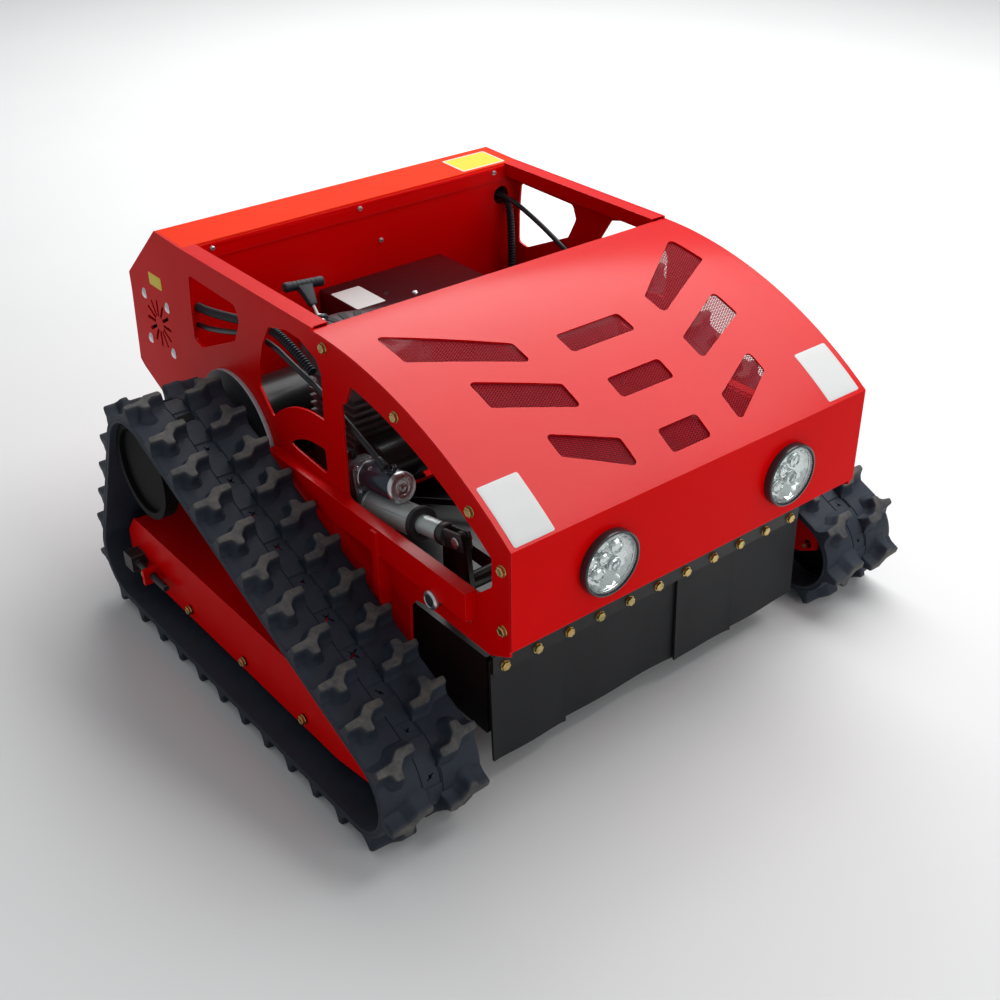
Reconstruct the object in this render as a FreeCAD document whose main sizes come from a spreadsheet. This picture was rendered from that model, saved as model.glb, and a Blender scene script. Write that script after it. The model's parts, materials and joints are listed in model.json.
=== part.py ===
import FreeCAD, Part
import math
import os
import re
import Sketcher
from FreeCAD import Placement, Rotation, Vector

# Remote control slope mower on two triangular rubber tracks.
# Y is measured from the front face of the hood, rearwards; Z from the ground, upwards.
# Every node is moved forwards by half of the body at the end, so that the origin is
# under the middle of the machine.

doc = FreeCAD.newDocument("slope_mower")
sheet = doc.addObject("Spreadsheet::Sheet", "Sizes")

# Driving dimensions, in millimetres
SIZES = {
    # body shell
    "body_width": 680, "body_length": 1036, "plate_thickness": 4, "plate_setback": 4,
    "hood_thickness": 3, "hood_radius": 715, "hood_top": 599, "hood_rear": 432,
    "front_edge_height": 300, "window_rim": 46, "window_corner": 9,
    "ring_centre_y": 435, "ring_centre_z": 273, "ring_outer": 190, "ring_inner": 141,
    "rail_rise": 4, "rail_size": 24, "rail_wall": 2.5,
    "bulkhead_y": 816, "bulkhead_flange": 28, "sheet_thickness": 3,
    "sill_top": 360, "sill_height": 44, "sill_depth": 18, "sill_front": 72, "sill_rear": 566,
    "rib_width": 13, "rib_proud": 4, "rib_place": 270, "rib_foot": 232,
    "cross_tube": 30, "cross_tube_y": 38, "cross_tube_z": 305,
    "beam_y": 720, "beam_depth": 50, "beam_z": 205, "floor_z": 258, "floor_front": 615,
    # hood openings: rows at arc distances from the rear edge
    "mesh_thickness": 1, "mesh_margin": 14, "vent_corner": 7,
    # fasteners
    "bolt_head_width": 13, "bolt_head_height": 5.3, "bolt_radius": 4,
    "screw_head_radius": 5, "screw_head_height": 3, "screw_radius": 2.5,
    "pivot_head_radius": 10, "pivot_head_height": 6,
    # lamps
    "lamp_spacing": 354, "lamp_drop": 4.87, "lamp_radius": 49, "lamp_standout": 12,
    "lamp_depth": 38, "lamp_wall": 4, "lens_thickness": 3,
    # tracks
    "track_spacing": 891, "track_width": 163, "belt_thickness": 12, "lug_height": 22,
    "belt_pitch": 67.4, "sprocket_teeth": 8, "idler_radius": 62, "front_idler_y": 112,
    "rear_idler_y": 802, "sprocket_y": 683, "sprocket_z": 326.5, "centre_strip": 30,
    "window_width": 34, "window_length": 28, "lug_length": 38,
    "wheel_width": 64, "wheel_rim": 22, "wheel_web": 8, "hub_radius": 20,
    "roller_radius": 46, "roller_first_y": 290, "roller_step": 172, "axle_radius": 8,
    "running_gap": 0.05, "free_gap": 0.3, "slot_gap": 0.8,
    "frame_width": 90, "frame_wall": 5, "frame_top": 167, "frame_bottom": 62,
    "frame_front": 176, "frame_rear": 840, "web_height": 290,
    "stub_radius": 20, "stub_front_y": 320, "stub_front_z": 208, "stub_rear_y": 530, "stub_rear_z": 240,
    "slack": 15, "tension_rod_radius": 6, "tension_rod_length": 104, "tension_block": 28,
    "tension_block_depth": 26, "tab_thickness": 8, "tab_y": 738,
    "guard_radius": 112, "guard_thickness": 8,
    "drive_shaft_radius": 15, "sprocket_width": 24, "tooth_length": 19,
    "motor_radius": 70, "motor_rise": 12, "motor_length": 140, "gearbox_length": 30,
    # cutting deck
    "deck_half_width": 313, "bar_front": 73, "deck_rear": 640, "deck_top": 225,
    "deck_skirt": 135, "deck_plate": 4, "bar_height": 30, "bar_thickness": 6,
    "bar_bolts": 11, "bar_bolt_margin": 20.5, "flap_bottom": 46, "flap_thickness": 5,
    "flap_overlap": 14, "deck_pivot_y": 700, "deck_pivot_z": 234,
    "deck_pin_radius": 8, "ear_thickness": 8, "blade_y": 364, "blade_radius": 260,
    "blade_width": 56, "blade_thickness": 5, "blade_height": 96, "spindle_radius": 14,
    "spindle_pulley": 60, "engine_pulley": 45, "pulley_width": 20, "pulley_z": 238,
    "belt_section": 11,
    # lift mechanism
    "lift_shaft_y": 145.5, "lift_shaft_z": 312, "lift_shaft_radius": 12, "lift_arm": 90,
    "lift_arm_thickness": 8, "lift_arm_width": 26, "lift_arm_x": 240, "roller_pin": 8,
    "bracket_front": 32, "bracket_rear": 24, "bracket_rise": 22,
    "lift_slot_front": 13, "lift_slot_rear": 3, "slot_play": 2.5,
    "lever_length": 65.7, "lever_lean": 8.3, "actuator_x": 299,
    "actuator_pin_y": 430, "actuator_pin_z": 320, "actuator_tube_radius": 22.5,
    "actuator_rod_radius": 11, "actuator_body_length": 190, "actuator_motor_radius": 23,
    "actuator_motor_length": 110, "actuator_motor_lift": 46, "pin_radius": 5, "rod_seat": 74, "bore_seat": 50,
    # engine and rear compartment
    "engine_x": 190, "engine_y": 545, "engine_block": 124, "engine_plate_z": 262,
    "engine_plate_thickness": 6, "engine_top": 470, "recoil_radius": 95, "recoil_height": 44,
    "crank_radius": 12.5, "eyelet_x": 221, "eyelet_y": 612, "eyelet_z": 524, "handle_width": 68,
    "eyelet_radius": 8, "eyelet_length": 12, "pull_reach": 60,
    "handle_radius": 8, "handle_stem": 40, "rope_radius": 2.5,
    "box_left": 97, "box_right": 161, "box_front": 622, "box_top": 468, "box_wall": 4,
    "tank_left": 70, "tank_length": 230, "tank_depth": 130, "tank_height": 150,
    "muffler_radius": 38, "muffler_length": 120,
    "fan_inset": 103, "fan_z": 434.6, "fan_frame": 92, "fan_depth": 25, "fan_hole_pitch": 82.5,
    "fan_hub_radius": 17, "fan_blade_radius": 42, "fan_blades": 7,
    "conduit_radius": 6, "conduit_bore": 3.6, "rib_height": 1.2, "rib_pitch": 4.2,
    "loom_radius": 4.5, "grommet_radius": 17, "grommet_x": 304.4, "grommet_z": 544,
    "controller_width": 180, "controller_height": 110, "controller_depth": 45, "cut_overrun": 5,
}
# Sizes that follow from the ones above
FOLLOWING = {
    "rail_top": "=hood_top + rail_rise", "fan_y": "=body_length - fan_inset",
    "lamp_height": "=(front_edge_height + hood_top - hood_radius"
                   " + sqrt(hood_radius ^ 2 - hood_rear ^ 2)) / 2 - lamp_drop",
    "bar_bolt_step": "=2 * (deck_half_width - bar_bolt_margin) / (bar_bolts - 1)",
}
NAMES = {**SIZES, **FOLLOWING}
for row, (alias, number) in enumerate(NAMES.items(), start=1):
    sheet.set(f"A{row}", alias.replace("_", " "))
    sheet.set(f"B{row}", str(number))
    sheet.setAlias(f"B{row}", alias)
doc.recompute()

NODES = {}


# Helpers for named sizes

def mm(text):
    """Value of a sum of named sizes."""
    return float(sheet.evalExpression(str(text)))


def named(text):
    """The same sum, as other objects of the document write it."""
    def placed(word):
        return "Sizes." + word.group() if word.group() in NAMES else word.group()

    return re.sub(r"[a-z_]{3,}\w*", placed, str(text))


def bind(piece, place, text):
    piece.setExpression(place, named(text))
    return piece


def at(piece, x="0", y="0", z="0"):
    for axis, text in zip("xyz", (x, y, z)):
        bind(piece, f"Placement.Base.{axis}", text)
    return piece


INNER = "(body_width / 2 - plate_thickness)"
OUTER = "(body_width / 2)"
FORWARD = "((lamp_standout - body_length) / 2)"
IDLER_Z = "(lug_height + belt_thickness + idler_radius)"
SEAT = "(sprocket_teeth * belt_pitch / (2 * pi) - belt_thickness / 2)"
ROLLER_Z = "(lug_height + belt_thickness + roller_radius)"
X_AXIS = Rotation(Vector(0, 0, 1), Vector(1, 0, 0))
Y_AXIS = Rotation(Vector(0, 0, 1), Vector(0, 1, 0))
SIDES = {"left": -1, "right": 1}


# Helpers for solids

def box(name, x, y, z):
    """A block between pairs of places."""
    piece = doc.addObject("Part::Box", name)
    for place, span in zip(("Length", "Width", "Height"), (x, y, z)):
        bind(piece, place, f"({span[1]}) - ({span[0]})")
    return at(piece, x[0], y[0], z[0])


def rod(name, radius, length, x, y, z, turn=None):
    """A cylinder from a place along X, Y or Z."""
    piece = doc.addObject("Part::Cylinder", name)
    bind(piece, "Radius", radius)
    bind(piece, "Height", length)
    if turn is not None:
        piece.Placement = Placement(Vector(), turn)
    return at(piece, x, y, z)


def fuse(name, pieces):
    piece = doc.addObject("Part::MultiFuse", name)
    piece.Shapes = pieces
    return piece


def cut(name, base, tools):
    piece = doc.addObject("Part::Cut", name)
    piece.Base = base
    piece.Tool = tools[0] if len(tools) == 1 else fuse(name + "_tools", tools)
    return piece


def own(name, shape):
    """A shape of its own, for what primitives and sketches don't fit."""
    piece = doc.addObject("Part::Feature", name)
    piece.Shape = shape
    return piece


def node(label, pieces):
    """One part file: the solids of a sub-part, moved so that the origin is under the middle."""
    group = doc.addObject("Part::Compound", "node_" + label)
    group.Links = pieces
    group.Label = label
    bind(group, "Placement.Base.y", FORWARD)
    NODES[label] = group
    return group


def span(side, near, far):
    """Two places along X on one side of the middle, lower one first."""
    if side < 0:
        return f"-({far})", f"-({near})"
    return near, far


def outline_sketch(body, name, role, points):
    """A closed line loop whose corners are bound to sums of named sizes."""
    sketch = body.newObject("Sketcher::SketchObject", name)
    plane = next(part for part in body.Origin.OriginFeatures if part.Role == role)
    sketch.AttachmentSupport = [(plane, "")]
    sketch.MapMode = "FlatFace"
    corners = [Vector(mm(a), mm(b), 0) for a, b in points]
    count = len(corners)
    for index in range(count):
        line = Part.LineSegment(corners[index], corners[(index + 1) % count])
        sketch.addGeometry(line, False)
    for index in range(count):
        sketch.addConstraint(Sketcher.Constraint("Coincident", index, 2, (index + 1) % count, 1))
    for index, pair in enumerate(points):
        for kind, text, value in zip(("DistanceX", "DistanceY"), pair, corners[index]):
            place = sketch.addConstraint(Sketcher.Constraint(kind, -1, 1, index, 1, value))
            sketch.setExpression(f"Constraints[{place}]", named(text))
    return sketch


def padded(name, role, points, length):
    """A sketched outline with a thickness: YZ_Plane grows along X, XY_Plane along Z."""
    body = doc.addObject("PartDesign::Body", name)
    pad = body.newObject("PartDesign::Pad", name + "_pad")
    pad.Profile = outline_sketch(body, name + "_outline", role, points)
    bind(pad, "Length", length)
    return body


def turned(name, points, turn=None):
    """A sketched half section (radius, height) turned about its axis."""
    body = doc.addObject("PartDesign::Body", name)
    sketch = outline_sketch(body, name + "_section", "XZ_Plane", points)
    revolution = body.newObject("PartDesign::Revolution", name + "_turn")
    revolution.Profile = sketch
    revolution.ReferenceAxis = (sketch, ["V_Axis"])
    if turn is not None:
        body.Placement = Placement(Vector(), turn)
    return body


def rounded_face(points, radius):
    """A flat face whose corners are rounded; points are vectors in order."""
    edges, count, joints = [], len(points), []
    for index, corner in enumerate(points):
        back = (points[index - 1] - corner)
        ahead = (points[(index + 1) % count] - corner)
        half = back.getAngle(ahead) / 2
        reach = min(radius / math.tan(half), back.Length / 2.01, ahead.Length / 2.01)
        size = reach * math.tan(half)
        back.normalize()
        ahead.normalize()
        middle = back + ahead
        middle.normalize()
        top = corner + middle * (size / math.sin(half) - size)
        joints.append((corner + back * reach, top, corner + ahead * reach))
    for index, (start, top, end) in enumerate(joints):
        edges.append(Part.Arc(start, top, end).toShape())
        edges.append(Part.LineSegment(end, joints[(index + 1) % count][0]).toShape())
    return Part.Face(Part.Wire(edges))


def hexagon(radius, height):
    corners = [Vector(math.cos(turn), math.sin(turn), 0) * radius
               for turn in (math.radians(60 * step) for step in range(7))]
    return Part.Face(Part.makePolygon(corners)).extrude(Vector(0, 0, height))


def hex_bolt(base, outward, grip):
    """A hexagon bolt: head standing on base, shank going back into the piece."""
    width = mm("bolt_head_width")
    solid = hexagon(width / math.sqrt(3), mm("bolt_head_height"))
    solid = solid.fuse(Part.makeCylinder(mm("bolt_radius"), grip, Vector(0, 0, -grip)))
    solid.Placement = Placement(base, Rotation(Vector(0, 0, 1), outward))
    return solid


def round_screw(base, outward, grip):
    head = Part.makeCylinder(mm("screw_head_radius"), mm("screw_head_height"))
    solid = head.fuse(Part.makeCylinder(mm("screw_radius"), grip, Vector(0, 0, -grip)))
    solid.Placement = Placement(base, Rotation(Vector(0, 0, 1), outward))
    return solid


def hole(centre, direction, radius, depth):
    """A cutting pin that runs past both faces."""
    over = mm("cut_overrun")
    return Part.makeCylinder(radius, depth + 2 * over, centre - direction * over, direction)


# Side plates, as shares of the body's length and of the hood's height

PLATE_SHARES = [
    (0.9884, 0.5392), (0.9199, 0.4841), (0.694, 0.3005), (0.2201, 0.3005), (0.2181, 0.4124),
    (0.2037, 0.4441), (0.1718, 0.4541), (0.0434, 0.4508), (0.0232, 0.4674),
]
PLATE_REAR_SHARES = [(0.7949, 1.0067), (0.8723, 1.0117), (0.9912, 0.833), (0.9912, 0.7763), (1.0, 0.5559)]
FRONT_WINDOW_SHARES = [
    (0.3125, 0.98), (0.3465, 0.8583), (0.357, 0.8516), (0.357, 0.595), (0.0656, 0.595), (0.0375, 0.6382),
    (0.0381, 0.7324), (0.0591, 0.7763), (0.09, 0.98),
]
MIDDLE_WINDOW_SHARES = [
    (0.5363, 0.9356), (0.5598, 0.8731), (0.5769, 0.7936), (0.5822, 0.7472), (0.55, 0.6825),
    (0.407, 0.6825), (0.4023, 0.8948), (0.4122, 0.9277), (0.4503, 0.9549), (0.4883, 0.9573),
]
SMALL_WINDOW_SHARES = [(0.51, 0.6371), (0.51, 0.72), (0.4089, 0.72), (0.4069, 0.621), (0.4805, 0.6302)]
REAR_WINDOW_SHARES = [
    (0.7699, 0.9424), (0.7764, 0.8391), (0.777, 0.7518), (0.7529, 0.7437), (0.6419, 0.8324),
    (0.6222, 0.897), (0.6314, 0.9379),
]
FAN_SLOTS = 12
FAN_SLOT_SHARES = (0.3, 0.92)
FAN_SLOT_WIDTH_SHARE = 0.13
EDGE_BOLT_SHARES = [(0.9375, 0.37), (0.551, 0.59), (0.1875, 0.6), (0.0417, 0.85)]
LOWER_BOLT_SHARES = (0.0394, 0.5442)
SPARE_HOLE_SHARES = (0.0859, 0.5025)


def shares(pairs):
    """Share tables as vectors in the plane of a side plate."""
    length, height = mm("body_length"), mm("hood_top")
    return [Vector(0, a * length, b * height) for a, b in pairs]


def hood_point(radius, y):
    """Place on a cylinder about the hood's axis."""
    centre_z = mm("hood_top") - mm("hood_radius")
    return Vector(0, y, centre_z + math.sqrt(radius ** 2 - (mm("hood_rear") - y) ** 2))


def prism(face_or_points, thickness):
    face = face_or_points
    if isinstance(face, list):
        face = Part.Face(Part.makePolygon(face + face[:1]))
    return face.extrude(Vector(thickness, 0, 0))


def hood_cylinder(radius, start, length):
    centre = Vector(start, mm("hood_rear"), mm("hood_top") - mm("hood_radius"))
    return Part.makeCylinder(radius, length, centre, Vector(1, 0, 0))


def side_plate_shape(start):
    """The plate with its windows, from X start outwards by its thickness."""
    thick, over = mm("plate_thickness"), mm("cut_overrun")
    under = mm("hood_radius") - mm("hood_thickness")
    front, rear = mm("plate_setback"), mm("hood_rear")
    crest = hood_point(under, rear)
    corner = hood_point(under, front)
    edges = [Part.Arc(corner, hood_point(under, (front + rear) / 2), crest).toShape()]
    chain = [crest, Vector(0, mm("hood_rear"), mm("rail_top"))] + shares(PLATE_REAR_SHARES)
    chain += shares(PLATE_SHARES) + [Vector(0, front, mm("front_edge_height") - 2.5 * thick), corner]
    for first, second in zip(chain, chain[1:]):
        edges.append(Part.LineSegment(first, second).toShape())
    plate = prism(Part.Face(Part.Wire(edges)), thick)
    deep = thick + 2 * over
    round_size = mm("window_corner")
    rim = mm("hood_radius") - mm("window_rim")
    openings = [prism(rounded_face(shares(FRONT_WINDOW_SHARES), round_size), deep)]
    openings[0] = openings[0].common(hood_cylinder(rim, 0, deep))
    centre = Vector(0, mm("ring_centre_y"), mm("ring_centre_z"))
    middle = prism(rounded_face(shares(MIDDLE_WINDOW_SHARES), round_size), deep)
    openings.append(middle.cut(Part.makeCylinder(mm("ring_outer"), deep, centre, Vector(1, 0, 0))))
    small = prism(rounded_face(shares(SMALL_WINDOW_SHARES), round_size), deep)
    openings.append(small.common(Part.makeCylinder(mm("ring_inner"), deep, centre, Vector(1, 0, 0))))
    openings.append(prism(rounded_face(shares(REAR_WINDOW_SHARES), round_size), deep))
    fan = Vector(0, mm("fan_y"), mm("fan_z"))
    half = mm("fan_frame") / 2
    for step in range(FAN_SLOTS):
        near, far = (half * share for share in FAN_SLOT_SHARES)
        slot = Part.makeBox(deep, half * FAN_SLOT_WIDTH_SHARE, far - near,
                            Vector(0, -half * FAN_SLOT_WIDTH_SHARE / 2, near))
        slot.rotate(Vector(), Vector(1, 0, 0), 360 * step / FAN_SLOTS)
        slot.translate(fan)
        openings.append(slot)
    for opening in openings:
        opening.translate(Vector(-over, 0, 0))
    holes = [hole(place, Vector(1, 0, 0), mm("bolt_radius"), thick) for place in edge_bolt_places()]
    holes.append(hole(Vector(0, mm("lift_shaft_y"), mm("lift_shaft_z")), Vector(1, 0, 0),
                      mm("lift_shaft_radius") + mm("running_gap"), thick))
    holes.append(hole(Vector(0, mm("sprocket_y"), mm("sprocket_z")), Vector(1, 0, 0),
                      mm("drive_shaft_radius") + mm("free_gap"), thick))
    holes += [hole(place, Vector(1, 0, 0), mm("screw_radius"), thick) for place in fan_screw_places()]
    spare = shares([SPARE_HOLE_SHARES])[0]
    holes.append(hole(spare, Vector(1, 0, 0), mm("bolt_radius"), thick))
    plate = plate.cut(openings + holes)
    plate.translate(Vector(start, 0, 0))
    return plate


def edge_bolt_places():
    """Bolts that hold the hood's flanges to a side plate."""
    rim = mm("window_rim")
    places = [hood_point(mm("hood_radius") - rim * inset, mm("hood_rear") * along)
              for along, inset in EDGE_BOLT_SHARES]
    across, up = LOWER_BOLT_SHARES
    places.append(Vector(0, across * mm("hood_rear"), up * mm("hood_top")))
    return places


def fan_screw_places():
    half = mm("fan_hole_pitch") / 2
    return [Vector(0, mm("fan_y") + a * half, mm("fan_z") + b * half) for a in (-1, 1) for b in (-1, 1)]


def make_side_plates():
    for word, side in SIDES.items():
        start = mm(OUTER) - mm("plate_thickness") if side > 0 else -mm(OUTER)
        plate = side_plate_shape(start)
        if side < 0:
            plate = plate.fuse(actuator_stand())
        node("side_plate_" + word, [own("plate_" + word, plate)])


def make_side_sills():
    """Square tube along the outside of each plate, with an upright rib."""
    sills = []
    for word, side in SIDES.items():
        outer = span(side, OUTER, f"{OUTER} + sill_depth")
        tube = box("sill_tube_" + word, outer, ("sill_front", "sill_rear"),
                   ("sill_top - sill_height", "sill_top"))
        rib = box("sill_rib_" + word, span(side, OUTER, f"{OUTER} + sill_depth + rib_proud"),
                  ("rib_place", "rib_place + rib_width"), ("rib_foot", "sill_top - plate_thickness"))
        reach = span(side, f"{OUTER} - cut_overrun", f"{OUTER} + sill_depth + cut_overrun")
        bore = rod("sill_bore_" + word, "lift_shaft_radius + running_gap", f"({reach[1]}) - ({reach[0]})",
                   reach[0], "lift_shaft_y", "lift_shaft_z", X_AXIS)
        sills.append(cut("sill_" + word, fuse("sill_blank_" + word, [tube, rib]), [bore]))
    node("side_sills", sills)


def make_top_rails():
    """Square tubes inside the plates, from the hood's rear edge to the bulkhead."""
    rails = []
    for word, side in SIDES.items():
        across = span(side, f"{INNER} - rail_size", INNER)
        along = ("hood_rear + hood_thickness", "bulkhead_y")
        upright = ("rail_top - rail_size", "rail_top")
        solid = box("rail_block_" + word, across, along, upright)
        inside = span(side, f"{INNER} - rail_size + rail_wall", f"{INNER} - rail_wall")
        bore = box("rail_bore_" + word, inside, (along[0] + " - cut_overrun", along[1] + " + cut_overrun"),
                   (upright[0] + " + rail_wall", upright[1] + " - rail_wall"))
        rails.append(cut("rail_" + word, solid, [bore]))
    node("top_rails", rails)


def make_frame_members():
    """Front cross tube, rear cross beam with the deck's lugs, engine plate and floor."""
    wide = (f"-{INNER}", INNER)
    tube = box("front_tube_block", wide, ("cross_tube_y", "cross_tube_y + cross_tube"),
               ("cross_tube_z", "cross_tube_z + cross_tube"))
    beam = box("beam_block", wide, ("beam_y", "beam_y + beam_depth"), ("beam_z", "floor_z"))
    lugs = []
    for word, side in SIDES.items():
        across = span(side, "deck_half_width - 3 * ear_thickness", "deck_half_width - 2 * ear_thickness")
        lug = box("deck_lug_" + word, across, ("deck_pivot_y - 2 * deck_pin_radius", "beam_y"),
                  ("deck_pivot_z - 2 * deck_pin_radius", "deck_pivot_z + 2 * deck_pin_radius"))
        bore = rod("deck_lug_bore_" + word, "deck_pin_radius", "ear_thickness + 2 * cut_overrun",
                   f"{across[0]} - cut_overrun", "deck_pivot_y", "deck_pivot_z", X_AXIS)
        lugs.append(cut("deck_lug_bored_" + word, lug, [bore]))
        pin = span(side, "deck_half_width - 3 * ear_thickness", "deck_half_width - ear_thickness")
        lugs.append(rod("deck_pin_" + word, "deck_pin_radius", "2 * ear_thickness", pin[0], "deck_pivot_y",
                        "deck_pivot_z", X_AXIS))
    node("cross_members", [tube, fuse("beam_with_lugs", [beam] + lugs)])
    plate = box("engine_plate_block", wide,
                ("engine_y - 0.6 * engine_block", "engine_y + 0.54 * engine_block"),
                ("engine_plate_z", "engine_plate_z + engine_plate_thickness"))
    bore = rod("engine_plate_bore", "1.6 * crank_radius", "engine_plate_thickness + 2 * cut_overrun",
               "-engine_x", "engine_y", "engine_plate_z - cut_overrun")
    node("engine_plate", [cut("engine_plate_bored", plate, [bore])])
    floor = padded("floor_sheet", "YZ_Plane", [
        ("floor_front", "floor_z"), ("0.86 * body_length", "floor_z"),
        ("0.985 * body_length", "floor_z + 0.114 * hood_top"),
        ("0.985 * body_length", "floor_z + 0.114 * hood_top + plate_thickness"),
        ("0.856 * body_length", "floor_z + plate_thickness"), ("floor_front", "floor_z + plate_thickness"),
    ], f"2 * {INNER}")
    node("rear_floor", [at(floor, f"-{INNER}")])


def make_rear_box():
    """Bulkhead with its folded flange, and the rear cover that slopes down to the tail."""
    wide = (f"-{INNER}", INNER)
    wall = box("bulkhead_wall", wide, ("bulkhead_y", "bulkhead_y + sheet_thickness"),
               ("floor_z + plate_thickness", "rail_top - sheet_thickness"))
    flange = box("bulkhead_flange", wide, ("bulkhead_y - sheet_thickness", "bulkhead_y"),
                 ("rail_top - bulkhead_flange", "rail_top - sheet_thickness"))
    notches = []
    for word, side in SIDES.items():
        across = span(side, f"{INNER} - rail_size", f"{INNER} + cut_overrun")
        notches.append(box("bulkhead_notch_" + word, across,
                           ("bulkhead_y - 2 * sheet_thickness", "bulkhead_y"),
                           ("rail_top - rail_size - sheet_thickness", "rail_top + cut_overrun")))
    grommet = rod("bulkhead_grommet_hole", "grommet_radius", "4 * sheet_thickness", "grommet_x",
                  "bulkhead_y - 2 * sheet_thickness", "grommet_z", Y_AXIS)
    blank = fuse("bulkhead_blank", [wall, flange])
    bores = [own(f"bulkhead_screw_bore_{index}",
                 hole(place, Vector(0, 1, 0), mm("screw_radius"), 4 * mm("sheet_thickness")))
             for index, place in enumerate(bulkhead_screw_places())]
    node("rear_bulkhead", [cut("bulkhead_bored", blank, notches + [grommet] + bores)])
    lid = padded("rear_lid_sheet", "YZ_Plane", [
        ("bulkhead_y", "rail_top - sheet_thickness"),
        ("0.8723 * body_length", "1.0117 * hood_top - sheet_thickness"),
        ("0.9912 * body_length - sheet_thickness", "0.833 * hood_top - sheet_thickness"),
        ("0.9912 * body_length - sheet_thickness", "0.7763 * hood_top"),
        ("body_length - 2 * sheet_thickness", "floor_z + 0.125 * hood_top"),
        ("body_length - sheet_thickness", "floor_z + 0.125 * hood_top"),
        ("0.9912 * body_length", "0.7763 * hood_top"), ("0.9912 * body_length", "0.833 * hood_top"),
        ("0.8723 * body_length", "1.0117 * hood_top"), ("bulkhead_y", "rail_top"),
    ], f"2 * {INNER}")
    node("rear_cover", [at(lid, f"-{INNER}")])


BULKHEAD_SCREW_SHARES = [(-0.0074, 0.9866), (0.0529, 0.8748), (-0.42, 0.9866), (0.42, 0.9866)]


def bulkhead_screw_places():
    """Screws in the flange, and one in the wall below it."""
    places = []
    for across, up in BULKHEAD_SCREW_SHARES:
        place = Vector(across * mm("body_width"), mm("bulkhead_y"), up * mm("hood_top"))
        if place.z > mm("rail_top - bulkhead_flange"):
            place.y -= mm("sheet_thickness")
        places.append(place)
    return places


# Hood with its vents, laid out on the unrolled arc: across, then along from the rear edge

VENT_SHARES = [
    [(-0.835, 0.144), (-0.371, 0.379), (-0.371, 0.476), (-0.835, 0.306)],
    [(-0.691, 0.461), (-0.338, 0.588), (-0.338, 0.688), (-0.691, 0.578)],
    [(-0.574, 0.72), (-0.285, 0.823), (-0.285, 0.927), (-0.574, 0.806)],
    [(-0.176, 0.407), (0.176, 0.407), (0.176, 0.496), (-0.176, 0.496)],
    [(-0.147, 0.627), (0.147, 0.627), (0.147, 0.709), (-0.147, 0.709)],
    [(-0.11, 0.845), (0.11, 0.845), (0.11, 0.931), (-0.11, 0.931)],
]
FLANGE_SHARE = 0.05


def arc_length():
    return mm("hood_radius") * math.asin(mm("hood_rear") / mm("hood_radius"))


def vent_tools():
    """Cutting prisms square to the hood at the middle of each vent."""
    half, arc, radius = mm("body_width") / 2, arc_length(), mm("hood_radius")
    outlines = list(VENT_SHARES)
    outlines += [[(-a, b) for a, b in reversed(outline)] for outline in VENT_SHARES[:3]]
    tools = []
    for outline in outlines:
        middle = sum(b for a, b in outline) / len(outline) * arc
        flat = [Vector(a * half, middle - b * arc, 0) for a, b in outline]
        deep = 8 * mm("cut_overrun")
        tool = rounded_face(flat, mm("vent_corner")).extrude(Vector(0, 0, 2 * deep))
        tool.translate(Vector(0, 0, radius - deep))
        tool.rotate(Vector(), Vector(1, 0, 0), math.degrees(middle / radius))
        tool.translate(Vector(0, mm("hood_rear"), mm("hood_top") - radius))
        tools.append(tool)
    return tools


def hood_band(outer, thickness, half_width, y_front, y_rear):
    """A piece of curved sheet, from one Y to another."""
    band = hood_cylinder(outer, -half_width, 2 * half_width)
    band = band.cut(hood_cylinder(outer - thickness, -half_width - 1, 2 * half_width + 2))
    low = hood_point(outer, y_front).z - 3 * thickness
    keep = Part.makeBox(2 * half_width, y_rear - y_front, outer, Vector(-half_width, y_front, low))
    return band.common(keep)


def make_hood():
    """Curved top and flat front in one folded sheet, with flanges inside the side plates."""
    half, thick, radius = mm(OUTER), mm("hood_thickness"), mm("hood_radius")
    top = hood_band(radius, thick, half, 0, mm("hood_rear"))
    corner = hood_point(radius, 0).z
    front = Part.makeBox(2 * half, thick, corner - mm("front_edge_height"),
                         Vector(-half, 0, mm("front_edge_height")))
    solid = top.fuse(front)
    depth = mm("body_width") * FLANGE_SHARE
    for side in (-1, 1):
        inner = mm(INNER) if side > 0 else -mm(INNER) + thick
        flange = hood_cylinder(radius - thick / 2, inner - thick, thick)
        flange = flange.cut(hood_cylinder(radius - depth, inner - 2 * thick, 3 * thick))
        keep = Part.makeBox(half * 4, mm("hood_rear") - 2 * thick, radius,
                            Vector(-half * 2, thick / 2, corner - 1.3 * depth))
        solid = solid.fuse(flange.common(keep))
        edge = Part.makeBox(thick, depth, corner - mm("front_edge_height") - thick,
                            Vector(inner - thick, thick / 2, mm("front_edge_height")))
        solid = solid.fuse(edge)
    tools = vent_tools()
    for side in (-1, 1):
        centre = Vector(side * mm("lamp_spacing") / 2, 0, mm("lamp_height"))
        tools.append(hole(centre, Vector(0, 1, 0), mm("lamp_radius") - mm("lamp_wall"), thick))
    for place in edge_bolt_places():
        across = Vector(-half - 1, place.y, place.z)
        tools.append(Part.makeCylinder(mm("bolt_radius"), 2 * half + 2, across, Vector(1, 0, 0)))
    node("hood", [own("hood_sheet", solid.cut(tools).removeSplitter())])


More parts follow.
